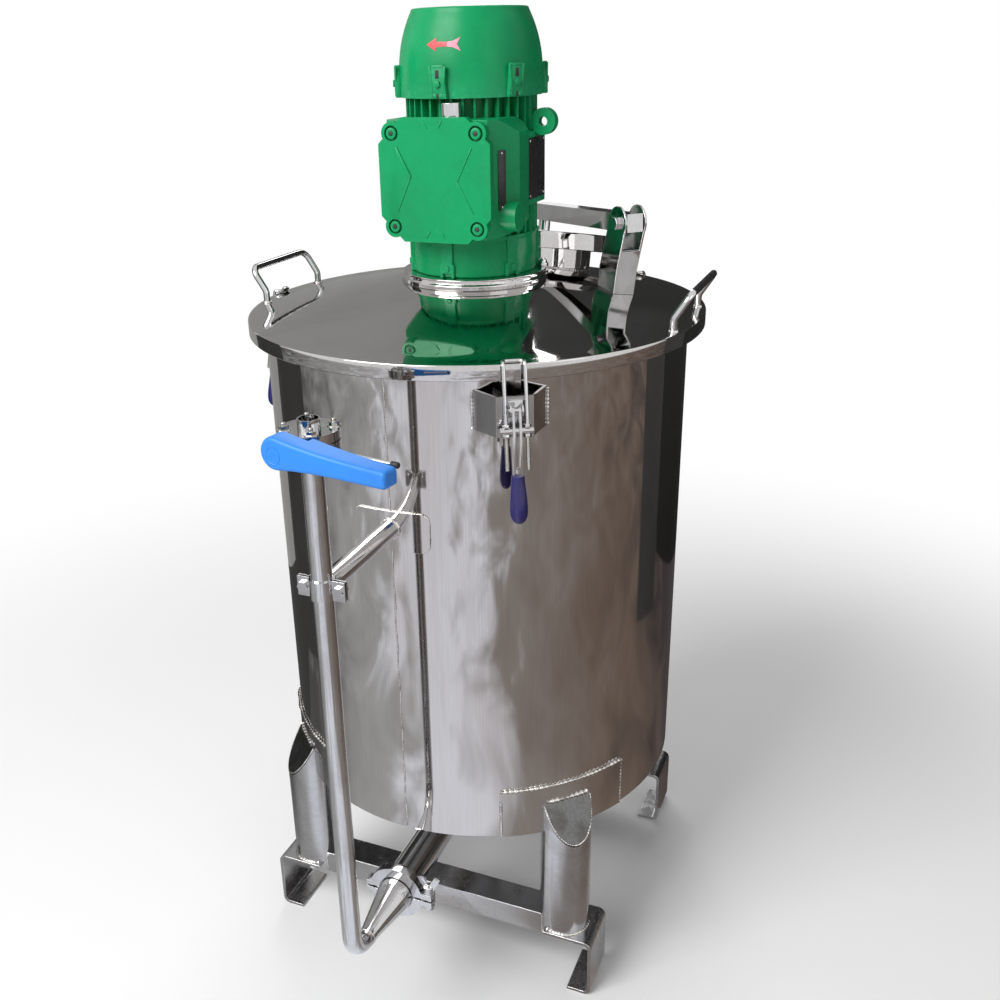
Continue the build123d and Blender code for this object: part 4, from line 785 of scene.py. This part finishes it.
def buildPadWelds(name, angle, s):
    out = s["padRadius"] - 0.001
    arc = [around(angle + s["padHalf"] * (k / 20 - 1), out, s["padHigh"]) for k in range(41)]
    weldBead("padTopWeld_" + name, arc, s["bead"], rough=0.75)
    for end, label in ((-1, "A"), (1, "B")):
        edge = [around(angle + end * s["padHalf"], out, s["padLow"] + 0.004 + k * 0.006) for k in range(13)]
        weldBead("padSideWeld_" + name + label, edge, s["bead"] * 0.8, rough=0.45)


def buildCapWelds(name, angle, s):
    # a bead round the slanted end plate, from one side of the pad to the other, and one across its top
    legOut = s["legReach"] + s["legRadius"]
    slope = (s["capTop"] - s["lip"]) / (legOut - shellSize["radius"])
    rim = []
    for k in range(61):
        a = radians(-100 + 200 * k / 60)
        radial = s["legReach"] + (s["legRadius"] - 0.0004) * cos(a)
        side = (s["legRadius"] - 0.0004) * sin(a)
        if hypot(radial, side) > s["padRadius"] + 0.0005:
            z = s["lip"] + (legOut - radial) * slope + 0.0035
            rim.append(around(angle, radial, z) + around(angle + 90, side, 0))
    weldBead("capWeld_" + name, rim, s["capBead"], rough=0.45)
    top = [around(angle + degrees(atan2(s["capHalf"] * (k / 12 - 1), s["padRadius"])), s["padRadius"] + 0.0005,
                  s["capTop"] + 0.004) for k in range(25)]
    weldBead("capTopWeld_" + name, top, s["bead"], rough=0.75)


def buildFootWelds(name, angle, s):
    # the ring round a leg is open where the rail meets it
    centre = around(angle, s["legReach"], s["footTop"])
    ring = [p for p in ringPath(centre, (0, 0, 1), s["footWeld"], 64) if abs(p.x) > s["footClear"]]
    start = max(range(len(ring)), key=lambda k: (ring[k] - ring[k - 1]).length)
    weldBead("footWeld_" + name, ring[start:] + ring[:start], s["footBead"], rough=0.45)
    for label, y in s["railY"].items():
        x, y = s["railX"] * (1 if centre.x > 0 else -1), y * (1 if centre.y > 0 else -1)
        line = [Vector((x, y, s["railLow"] + s["railStep"] * k)) for k in range(7)]
        weldBead("railWeld_" + name + label, line, s["capBead"], rough=0.45)


for name, angle in legNames.items():
    dress("leg_" + name, steelPlate, sharp=40)
    dress("foot_" + name, steelPlate, soften=0.0008, sharp=25)
    buildPadWelds(name, angle, standSize)
    buildCapWelds(name, angle, standSize)
    buildFootWelds(name, angle, standSize)
dress("leg_caps", steelCapPaintedShade, soften=0.0004)
dress("leg_pads", steelShell, soften=0.0006)
dress("front_rail", steelPlate, soften=0.0008)
dress("rear_rail", steelPlate, soften=0.0008)
print("stand done")

# outlet and riser
riserSize = {"y": -0.476, "low": 0.190, "radius": 0.0127, "wall": 0.0016, "bend": 0.038, "valve": 0.929,
             "valveHalf": 0.0115, "stay": 0.747, "stayStart": -0.3012, "clip": 0.0152}
outletSize = {"radius": 0.0254, "wall": 0.0016, "top": 0.289, "elbow": 0.076, "end": -0.340, "ferrule": 0.032,
              "lip": 0.0032}


def buildPipes(r, o):
    outlet, riser, stay = bmesh.new(), bmesh.new(), bmesh.new()
    path = filleted([(0, 0, o["top"]), (0, 0, r["low"]), (0, o["end"], r["low"])], [o["elbow"]], steps=24)
    addPipe(outlet, path, o["radius"], o["radius"] - o["wall"], sides=64)
    lip = [(o["radius"] - 0.0005, 0), (o["ferrule"] - 0.0003, 0), (o["ferrule"], 0.0003),
           (o["ferrule"] - 0.0002, 0.0016), (o["radius"] + 0.001, o["lip"]), (o["radius"] - 0.0005, o["lip"])]
    addTurned(outlet, lip, steps=96, place=facing((0, o["end"], r["low"]), (0, 1, 0)))
    standIn("outlet_pipe", "outletTube", outlet, steelFitting)
    path = filleted([(0, r["y"] + r["bend"], r["low"]), (0, r["y"], r["low"]),
                     (0, r["y"], r["valve"] - r["valveHalf"])], [r["bend"] - 1e-5], steps=24)
    addPipe(riser, path, r["radius"], r["radius"] - r["wall"], sides=64)
    standIn("riser_pipe", "riserTube", riser, steelFitting, sharp=50)
    path = [Vector((0, r["stayStart"], r["stay"])), Vector((0, r["y"] + r["clip"] - 0.001, r["stay"]))]
    addPipe(stay, path, r["radius"], sides=64)
    standIn("stay_arm", "stayTube", stay, steelFitting, sharp=50)


buildPipes(riserSize, outletSize)
for node, edge in {"outlet_clamp": 0.0009, "clamp_wing_nut": 0.0007, "riser_clip": 0.0006, "valve_body": 0.0006,
                   "valve_disc": 0.0003}.items():
    dress(node, steelFitting, soften=edge)
dress("reducer", steelFitting, soften=0.0004, sharp=30)

padSize = {"halfW": 0.053, "halfH": 0.027, "corner": 0.012, "z": 0.744, "thick": 0.0025, "strip": 0.004,
           "bead": 0.0012}


def padOutline(s):
    outline = []
    for cx, cz, turn in ((1, 1, 0), (-1, 1, 90), (-1, -1, 180), (1, -1, 270)):
        for k in range(7):
            a = radians(turn + 15 * k)
            outline.append((cx * (s["halfW"] - s["corner"]) + s["corner"] * cos(a),
                            cz * (s["halfH"] - s["corner"]) + s["corner"] * sin(a)))
    return outline


def buildStayPad(s):
    # a rounded plate bent to the shell, with a bead round it
    bm = bmesh.new()
    bm.faces.new([bm.verts.new((x, 0, z)) for x, z in padOutline(s)])
    sliceAcross(bm, [k * s["strip"] for k in range(-12, 13)])
    for v in bm.verts:
        v.co = Vector((v.co.x, -shellDepth(v.co.x), s["z"] + v.co.z))
    bmesh.ops.recalc_face_normals(bm, faces=bm.faces)
    bmesh.ops.solidify(bm, geom=bm.faces[:], thickness=-s["thick"])
    standIn("stay_pad", "stayPadPlate", bm, steelShell)
    outline = [Vector((x, 0, z)) for x, z in padOutline(s)]
    path = [p.lerp(q, k / 6) for p, q in zip(outline, outline[1:] + outline[:1]) for k in range(6)]
    path = [Vector((p.x, -shellDepth(p.x) - 0.0008, s["z"] + p.z)) for p in path]
    weldBead("stayPadWeld", path, s["bead"], closed=True, rough=0.5)


buildStayPad(padSize)

# ring welds on the pipes, as (centre, direction, radius, bead, rough)
forward = (0, 1, 0)
riserY, riserLow = riserSize["y"], riserSize["low"]
pipeWelds = {
    "reducerWeld": ((0, riserY + 0.038, riserLow), forward, riserSize["radius"] + 0.0001, 0.0009, 0.3),
    "valveWeld": ((0, riserY, riserSize["valve"] - riserSize["valveHalf"] - 0.0006), (0, 0, 1),
                  riserSize["radius"] + 0.0006, 0.0012, 0.3),
    "ferruleWeld": ((0, -0.3362, riserLow), forward, 0.0256, 0.0012, 0.3),
    "outletWeld": ((0, -0.0762, riserLow), forward, 0.0254, 0.0008, 0.3),
    "stayWeld": ((0, -0.3035, riserSize["stay"]), forward, 0.0134, 0.0018, 0.4)}
for name, (centre, normal, radius, bead, rough) in pipeWelds.items():
    weldBead(name, ringPath(centre, normal, radius), bead, closed=True, rough=rough)

leverSize = {"angle": -100.0, "front": 0.0598, "hubDepth": 0.022, "hubReach": 0.031, "depth": 0.030,
             "tipDepth": 0.020, "length": 0.145, "boss": 0.0185, "shoulder": 0.0181, "waist": 0.009, "fade": 0.052,
             "corner": 0.005, "edge": 0.0042, "droop": 0.022, "markDrop": 0.0015,
             "ringMark": [(0.0086, -0.0006), (0.0090, 0.0004), (0.0096, 0.0005), (0.0100, -0.0006)],
             "dotMark": [(0.0022, -0.0006), (0.0026, 0.0003), (0.0032, 0.0003), (0.0036, -0.0006)]}
triggerSize = {"offset": 0.025, "lift": 0.0015, "start": 0.060, "end": 0.132, "rod": 0.0028,
               "block": (0.008, 0.0084, 0.009), "blockAt": 0.066, "blockOut": 0.0292,
               "tip": [(0, 0), (0.0032, 0), (0.0035, 0.0006), (0.0035, 0.0076), (0.0028, 0.0088), (0, 0.009)]}
spindleSize = {"across": 0.013, "height": 0.0030, "out": 0.0357, "washers": 4, "washerRadius": 0.027,
               "washer": [(0.0052, 0), (0.0078, 0), (0.0078, 0.0008), (0.0074, 0.0012), (0.0052, 0.0012)],
               "stud": [(0, 0.0085), (0.0022, 0.0085), (0.0028, 0.0078), (0.0028, 0.0045), (0, 0.0045)]}


def buildLever(s, r):
    # moulded lever: a round boss, a waisted arm and a back that tapers towards the tip
    away, level = outAndAcross(s["angle"])
    along = level * cos(s["droop"]) - Vector((0, 0, sin(s["droop"])))
    up = level * sin(s["droop"]) + Vector((0, 0, cos(s["droop"])))
    centre = Vector((0, r["y"], r["valve"]))
    leave = radians(102)
    rungs = [(-s["boss"] * cos(leave * k / 10), s["boss"] * sin(leave * k / 10)) for k in range(11)]
    first, last = rungs[-1][0], s["length"] - s["corner"]
    stations = sorted([s["hubReach"]] + [first + (last - first) * k / 16 for k in range(1, 17) if k != 3])
    rungs += [(x, s["waist"] + (s["shoulder"] - s["waist"]) * exp((first - x) / s["fade"])) for x in stations]
    half = rungs[-1][1] - s["corner"]
    rungs += [(last + s["corner"] * sin(pi * k / 8), half + s["corner"] * cos(pi * k / 8)) for k in range(1, 5)]
    before = [(rungs[1][0], -rungs[1][1])] + rungs
    normals = []  # each rung's direction out of the outline, along which the front rim is rounded
    for (x0, w0), (x1, w1) in zip(before, rungs[1:]):
        span = hypot(x1 - x0, w1 - w0)
        normals.append(((w0 - w1) / span, (x1 - x0) / span))
    normals.append((1, 0))
    bm = bmesh.new()

    def back(x):
        if x <= s["hubReach"]:
            return s["front"] - s["hubDepth"]
        share = (x - s["hubReach"]) / (s["length"] - s["hubReach"])
        return s["front"] - s["depth"] + (s["depth"] - s["tipDepth"]) * share

    def pair(x, w, out):
        above = bm.verts.new(centre + along * x + up * w + away * out)
        return (above, bm.verts.new(centre + along * x - up * w + away * out) if w > 1e-7 else above)

    def panel(*corners):
        distinct = [v for j, v in enumerate(corners) if v not in corners[:j]]
        if len(distinct) > 2:
            bm.faces.new(distinct)

    rings = [[pair(x, w, back(x)) for x, w in rungs]]
    for turn in (0, pi / 8, pi / 4, 3 * pi / 8, pi / 2):
        inset, out = s["edge"] * (1 - cos(turn)), s["front"] - s["edge"] * (1 - sin(turn))
        rings.append([pair(x - nx * inset, max(w - nw * inset, 0), out) for (x, w), (nx, nw) in zip(rungs, normals)])
    hub = [x for x, w in rungs].index(s["hubReach"])
    heel = pair(*rungs[hub], s["front"] - s["depth"])
    for lower, upper in zip(rings, rings[1:]):
        for k in range(len(rungs) - 1):
            for side in (0, 1):
                start = [lower[k][side]]
                if lower is rings[0] and k == hub:
                    start = [heel[side], lower[k][side]]
                panel(*start, upper[k][side], upper[k + 1][side], lower[k + 1][side])
        panel(lower[-1][0], lower[-1][1], upper[-1][1], upper[-1][0])
    for k in range(len(rungs) - 1):
        near = heel if k == hub else rings[0][k]
        panel(near[0], near[1], rings[0][k + 1][1], rings[0][k + 1][0])
        panel(rings[-1][k][0], rings[-1][k][1], rings[-1][k + 1][1], rings[-1][k + 1][0])
    panel(rings[0][hub][0], rings[0][hub][1], heel[1], heel[0])
    standIn("valve_lever", "leverSkin", bm, leverBlue, sharp=50, soften=0.0014)


def buildLeverMark(s, r):
    # a shallow ring and a centre mark moulded into the lever's boss
    away = around(s["angle"], 1, 0)
    place = facing(Vector((0, r["y"], r["valve"] - s["markDrop"])) + away * s["front"], away)
    bm = bmesh.new()
    addTurned(bm, s["ringMark"], steps=48, place=place, closed=False)
    addTurned(bm, s["dotMark"], steps=32, place=place, closed=False)
    keepBm("leverMark", bm, leverBlue, "valve_handle", sharp=60)


def buildTrigger(angle, s, r):
    away, along = outAndAcross(angle)
    centre = Vector((0, r["y"], r["valve"]))
    base = centre + away * s["offset"] + Vector((0, 0, s["lift"]))
    rod, tip = bmesh.new(), bmesh.new()
    addPipe(rod, [base + along * s["start"], base + along * s["end"]], s["rod"], sides=32)
    at = centre + along * s["blockAt"] + away * s["blockOut"]
    addBlock(rod, s["block"], upright(at, along, away), 0.0012)
    standIn("valve_trigger", "triggerRod", rod, steelFitting)
    addTurned(tip, s["tip"], steps=32, place=facing(base + along * (s["end"] - 0.004), along), closed=False)
    keepBm("triggerTip", tip, blackSealAndShade, "valve_handle")


def buildSpindle(angle, s, r):
    # a nut on the spindle behind the lever, and studs with washers on the valve's body
    away = around(angle, 1, 0)
    nut, washers = bmesh.new(), bmesh.new()
    addHex(nut, s["across"], s["height"], facing(Vector((0, r["y"], r["valve"])) + away * s["out"], away))
    keepBm("spindleNut", nut, steelFitting, "valve_handle")
    for k in range(s["washers"]):
        at = around(angle + 45 + 90 * k, s["washerRadius"], r["valve"] + r["valveHalf"]) + Vector((0, r["y"], 0))
        addTurned(washers, s["washer"], steps=28, place=Matrix.Translation(at))
        addTurned(washers, s["stud"], steps=20, place=Matrix.Translation(at), closed=False)
    keepBm("valveWashers", washers, boltSteel)


buildLever(leverSize, riserSize)
buildLeverMark(leverSize, riserSize)
buildTrigger(leverSize["angle"], triggerSize, riserSize)
buildSpindle(leverSize["angle"], spindleSize, riserSize)
print("outlet and riser done")

# latches
latchSize = {"angles": {"right": -60.0, "left": 180.0, "rear": 60.0}, "hinge": 0.341, "hingeZ": 0.921,
             "trunnion": 0.344, "trunnionZ": 0.897, "trunnionHalf": 0.020, "trunnionRadius": 0.004,
             "hook": 0.3185, "hookZ": 0.9747, "spacing": 0.0128, "rod": 0.0024, "rodEnd": 0.851, "knee": 0.3289,
             "half": 0.0462, "low": 0.886, "bends": [0.004, 0.006, 0.006, 0.004], "nut": (0.0083, 0.0045),
             "nutShifts": (0.0035, -0.008), "pitch": 0.0011, "threads": 36, "pinHalf": 0.0086, "bead": 0.0017,
             "pinHead": [(0, 0.0008), (0.0018, 0.0007), (0.0026, 0.0002), (0.0027, 0)]}


def buildHoop(name, outward, across, s):
    # the bent rod, the trunnion it is screwed through, and its nuts; then the threads on its lower ends
    lean = (s["trunnion"] - s["knee"]) / (s["hookZ"] - s["trunnionZ"])

    def onRod(z, sideways):
        return outward * (s["trunnion"] - (z - s["trunnionZ"]) * lean) + across * sideways + Vector((0, 0, z))

    hoop, threads = bmesh.new(), bmesh.new()
    points = [onRod(s["rodEnd"], -s["spacing"]), onRod(s["hookZ"], -s["spacing"])]
    points += [outward * s["hook"] + across * end * s["spacing"] + Vector((0, 0, s["hookZ"])) for end in (-1, 1)]
    points += [onRod(s["hookZ"], s["spacing"]), onRod(s["rodEnd"], s["spacing"])]
    addPipe(hoop, filleted(points, s["bends"]), s["rod"], sides=28)
    ends = [onRod(s["trunnionZ"], side) for side in (-s["trunnionHalf"], s["trunnionHalf"])]
    addPipe(hoop, ends, s["trunnionRadius"], sides=40)
    up = (onRod(s["hookZ"], 0) - onRod(s["rodEnd"], 0)).normalized()
    outline = [(0.0, 0.0)]
    for k in range(s["threads"]):
        outline += [(s["rod"] - 0.00005, k * s["pitch"] + 0.0001), (s["rod"] + 0.00022, (k + 0.5) * s["pitch"])]
    outline.append((0.0, s["threads"] * s["pitch"]))
    for end in (-1, 1):
        for shift in s["nutShifts"]:
            at = onRod(s["trunnionZ"], end * s["spacing"]) + up * shift
            addHex(hoop, *s["nut"], facing(at, up, 0.4 * end), edge=0.0004)
        start = onRod(s["rodEnd"], end * s["spacing"]) - up * 0.0003
        addTurned(threads, outline, steps=16, place=facing(start, up), closed=False)
    standIn(f"latch_{name}_hoop", f"latch_{name}_rods", hoop, steelFitting, sharp=50)
    keepBm(f"latch_{name}_threads", threads, boltSteel, f"latch_{name}_hook", sharp=70)


def buildLatch(name, angle, s):
    dress(f"latch_{name}_bracket", steelFitting, soften=0.0005)
    dress(f"latch_{name}_lever", steelFitting, soften=0.0005)
    dress(f"latch_{name}_grip", gripViolet, soften=0.0010, sharp=40)
    outward, across = outAndAcross(angle)
    buildHoop(name, outward, across, s)
    heads = bmesh.new()
    for end, label in ((-1, "A"), (1, "B")):
        at = outward * s["hinge"] + Vector((0, 0, s["hingeZ"])) + across * end * s["pinHalf"]
        addTurned(heads, s["pinHead"], steps=24, place=facing(at, across * end), closed=False)
        y = end * (s["half"] + 0.0004)
        foot = outward * shellDepth(y) + across * y + Vector((0, 0, s["low"] + 0.002))
        edge = [foot + Vector((0, 0, k * 0.005)) for k in range(10)]
        weldBead(f"latchWeld_{name}{label}", edge, s["bead"], rough=0.45)
    keepBm(f"latch_{name}_pinHeads", heads, boltSteel, f"latch_{name}_handle", sharp=60)


for name, angle in latchSize["angles"].items():
    buildLatch(name, angle, latchSize)
print("latches done")


# floor, light and camera
def stageFinish(name, color=(1, 1, 1, 1)):
    material = bpy.data.materials.new(name)
    material.use_nodes = True
    shader = material.node_tree.nodes["Principled BSDF"]
    shader.inputs["Base Color"].default_value = color
    shader.inputs["Roughness"].default_value = 0.9
    return material, material.node_tree, shader


def blend(tree, factor, first, second, out):
    mix = tree.nodes.new("ShaderNodeMixShader")
    for socket, value in zip(mix.inputs, (factor, first.outputs[0], second.outputs[0])):
        tree.links.new(value, socket)
    tree.links.new(mix.outputs[0], tree.nodes[out].inputs["Surface"])


def onlyMirrored(thing):
    # seen by reflections alone, so that it never shows, lights or shades anything
    thing.visible_camera = False
    thing.visible_diffuse = False
    thing.visible_shadow = False


def raySeen(tree):
    # 1 for what the camera, a reflection or a clear part looks at
    path = tree.nodes.new("ShaderNodeLightPath")
    both = addMath(tree, "MAXIMUM", path.outputs["Is Camera Ray"], path.outputs["Is Glossy Ray"])
    return addMath(tree, "MAXIMUM", both, path.outputs["Is Transmission Ray"])


floorSize = {"half": 14.0, "fadeFrom": 0.8, "fadeTo": 2.1, "paper": (0.86, 0.86, 0.86, 1)}


def buildFloor(s):
    bm = bmesh.new()
    bmesh.ops.create_grid(bm, x_segments=8, y_segments=8, size=s["half"])
    material, tree, shader = stageFinish("floorPaper", s["paper"])
    distance = tree.nodes.new("ShaderNodeVectorMath")
    distance.operation = "LENGTH"
    tree.links.new(tree.nodes.new("ShaderNodeTexCoord").outputs["Object"], distance.inputs[0])
    fade = addRange(tree, distance.outputs["Value"], s["fadeFrom"], s["fadeTo"])
    glow = tree.nodes.new("ShaderNodeEmission")
    glow.inputs["Color"].default_value = (1, 1, 1, 1)
    blend(tree, addMath(tree, "MULTIPLY", fade, raySeen(tree)), shader, glow, "Material Output")
    floor = placed("floor", meshOf("floor", bm))
    floor.data.materials.append(material)


def buildWorld(ambient):
    world = bpy.data.worlds.new("studio")
    scene.world = world
    world.use_nodes = True
    tree = world.node_tree
    plain, seen = tree.nodes["Background"], tree.nodes.new("ShaderNodeBackground")
    for node, strength in ((plain, ambient), (seen, 1.0)):
        node.inputs["Color"].default_value = (1, 1, 1, 1)
        node.inputs["Strength"].default_value = strength
    blend(tree, raySeen(tree), plain, seen, "World Output")


def addSoftbox(name, at, target, size, power):
    light = bpy.data.lights.new(name, "AREA")
    light.shape = "RECTANGLE"
    light.size, light.size_y = size
    light.energy = power
    thing = placed(name, light)
    thing.location = at
    thing.rotation_euler = (Vector(target) - Vector(at)).to_track_quat("-Z", "Y").to_euler()


def addCard(name, tone, azimuth, distance, width, low, high):
    # a card out of view gives the polished steel something darker to mirror
    bm = bmesh.new()
    turn = facing(around(azimuth, distance, (low + high) / 2), -around(azimuth, 1, 0))
    bmesh.ops.create_grid(bm, x_segments=1, y_segments=1, size=0.5,
                          matrix=turn @ Matrix.Diagonal((width, high - low, 1, 1)))
    card = placed(name, meshOf(name, bm))
    card.data.materials.append(stageFinish(name, (tone, tone, tone * 0.97, 1))[0])
    onlyMirrored(card)


reflectionDiscSize = {"rings": (0.34, 1.0, 7.0), "z": 0.0008, "sides": 96, "wander": 1.68, "tones": (
    (-180, (0.10, 0.10, 0.10)), (-145, (0.38, 0.38, 0.38)), (-120, (0.50, 0.50, 0.50)), (-102, (0.95, 0.97, 1.05)),
    (-78, (0.95, 0.97, 1.05)), (-54, (0.35, 0.32, 0.30)), (5, (0.22, 0.17, 0.14)), (50, (0.07, 0.06, 0.06)),
    (150, (0.06, 0.06, 0.06)))}


def buildPaintedReflectionDisc(s):
    # a toned ground for the polished steel to mirror, glowing for reflections alone: a painted reflection, with
    # painted light in front and painted shade at the sides and behind
    bm = bmesh.new()
    addTurned(bm, [(radius, s["z"]) for radius in s["rings"]], steps=s["sides"], closed=False)
    material, tree = stageFinish("paintedReflectionTones")[:2]
    place = tree.nodes.new("ShaderNodeTexCoord").outputs["Object"]
    split = tree.nodes.new("ShaderNodeSeparateXYZ")
    tree.links.new(place, split.inputs[0])
    turn = addMath(tree, "ARCTAN2", split.outputs["Y"], split.outputs["X"])
    drift = addMath(tree, "SUBTRACT", addNoise(tree, place, 2.2, detail=3.0, distortion=0.8), 0.5)
    spot = addMath(tree, "MULTIPLY_ADD", drift, s["wander"], turn)
    ramp = tree.nodes.new("ShaderNodeValToRGB")
    tree.links.new(addMath(tree, "MULTIPLY_ADD", spot, 1 / (2 * pi), 0.5), ramp.inputs[0])
    stops = ramp.color_ramp.elements
    stops.remove(stops[1])
    for k, (azimuth, tone) in enumerate(s["tones"]):
        stop = stops.new(azimuth / 360 + 0.5) if k else stops[0]
        stop.position = azimuth / 360 + 0.5
        stop.color = (*tone, 1)
    glow = tree.nodes.new("ShaderNodeEmission")
    tree.links.new(ramp.outputs["Color"], glow.inputs["Color"])
    tree.links.new(glow.outputs[0], tree.nodes["Material Output"].inputs["Surface"])
    disc = placed("paintedReflectionDisc", meshOf("paintedReflectionDisc", bm))
    disc.data.materials.append(material)
    onlyMirrored(disc)


lightSize = {"ambient": 0.30, "softboxes": {  # place, target, size and power in watts
    "keyLight": ((-1.3, -2.7, 3.1), (0, 0, 0.8), (2.2, 2.2), 145),
    "fillLight": ((2.8, -1.6, 2.2), (0, 0, 0.8), (1.6, 2.4), 9),
    "backLight": ((-0.8, 2.8, 2.8), (0, 0, 0.9), (2.6, 1.2), 45)},
    "cards": {  # tone, azimuth, distance, width, low and high
        "cardBehind": (0.015, 70, 1.35, 1.7, 0.0, 2.6), "cardFarLeft": (0.38, 140, 1.3, 1.3, 0.0, 2.3),
        "cardRight": (0.05, 30, 1.2, 0.35, 0.0, 1.6), "cardLeft": (0.08, -172, 1.0, 0.4, 0.0, 1.5)}}
buildFloor(floorSize)
buildPaintedReflectionDisc(reflectionDiscSize)
buildWorld(lightSize["ambient"])
for name, values in lightSize["softboxes"].items():
    addSoftbox(name, *values)
for name, values in lightSize["cards"].items():
    addCard(name, *values)

cameraSize = {"at": (0.5905, -1.4256, 1.3163), "yaw": -23.78, "pitch": 22.59, "roll": -1.685, "focal": 1083.6,
              "centre": (457.4, 496.0), "picture": 1000, "film": 36.0}


def buildCamera(s):
    yaw, pitch, roll = (radians(s[k]) for k in ("yaw", "pitch", "roll"))
    forward = Vector((sin(yaw) * cos(pitch), cos(yaw) * cos(pitch), -sin(pitch)))
    level = Vector((cos(yaw), -sin(yaw), 0))
    over = level.cross(forward)
    right = level * cos(roll) + over * sin(roll)
    up = over * cos(roll) - level * sin(roll)
    lens = bpy.data.cameras.new("camera")
    lens.sensor_width = s["film"]
    lens.lens = s["focal"] / s["picture"] * s["film"]
    lens.shift_x = (s["picture"] / 2 - s["centre"][0]) / s["picture"]
    lens.shift_y = -(s["picture"] / 2 - s["centre"][1]) / s["picture"]
    camera = placed("camera", lens)
    place = Matrix((right, up, -forward)).transposed().to_4x4()
    place.translation = Vector(s["at"])
    camera.matrix_world = place
    scene.camera = camera


buildCamera(cameraSize)
scene.view_settings.view_transform = "Standard"
print("floor, light and camera done")
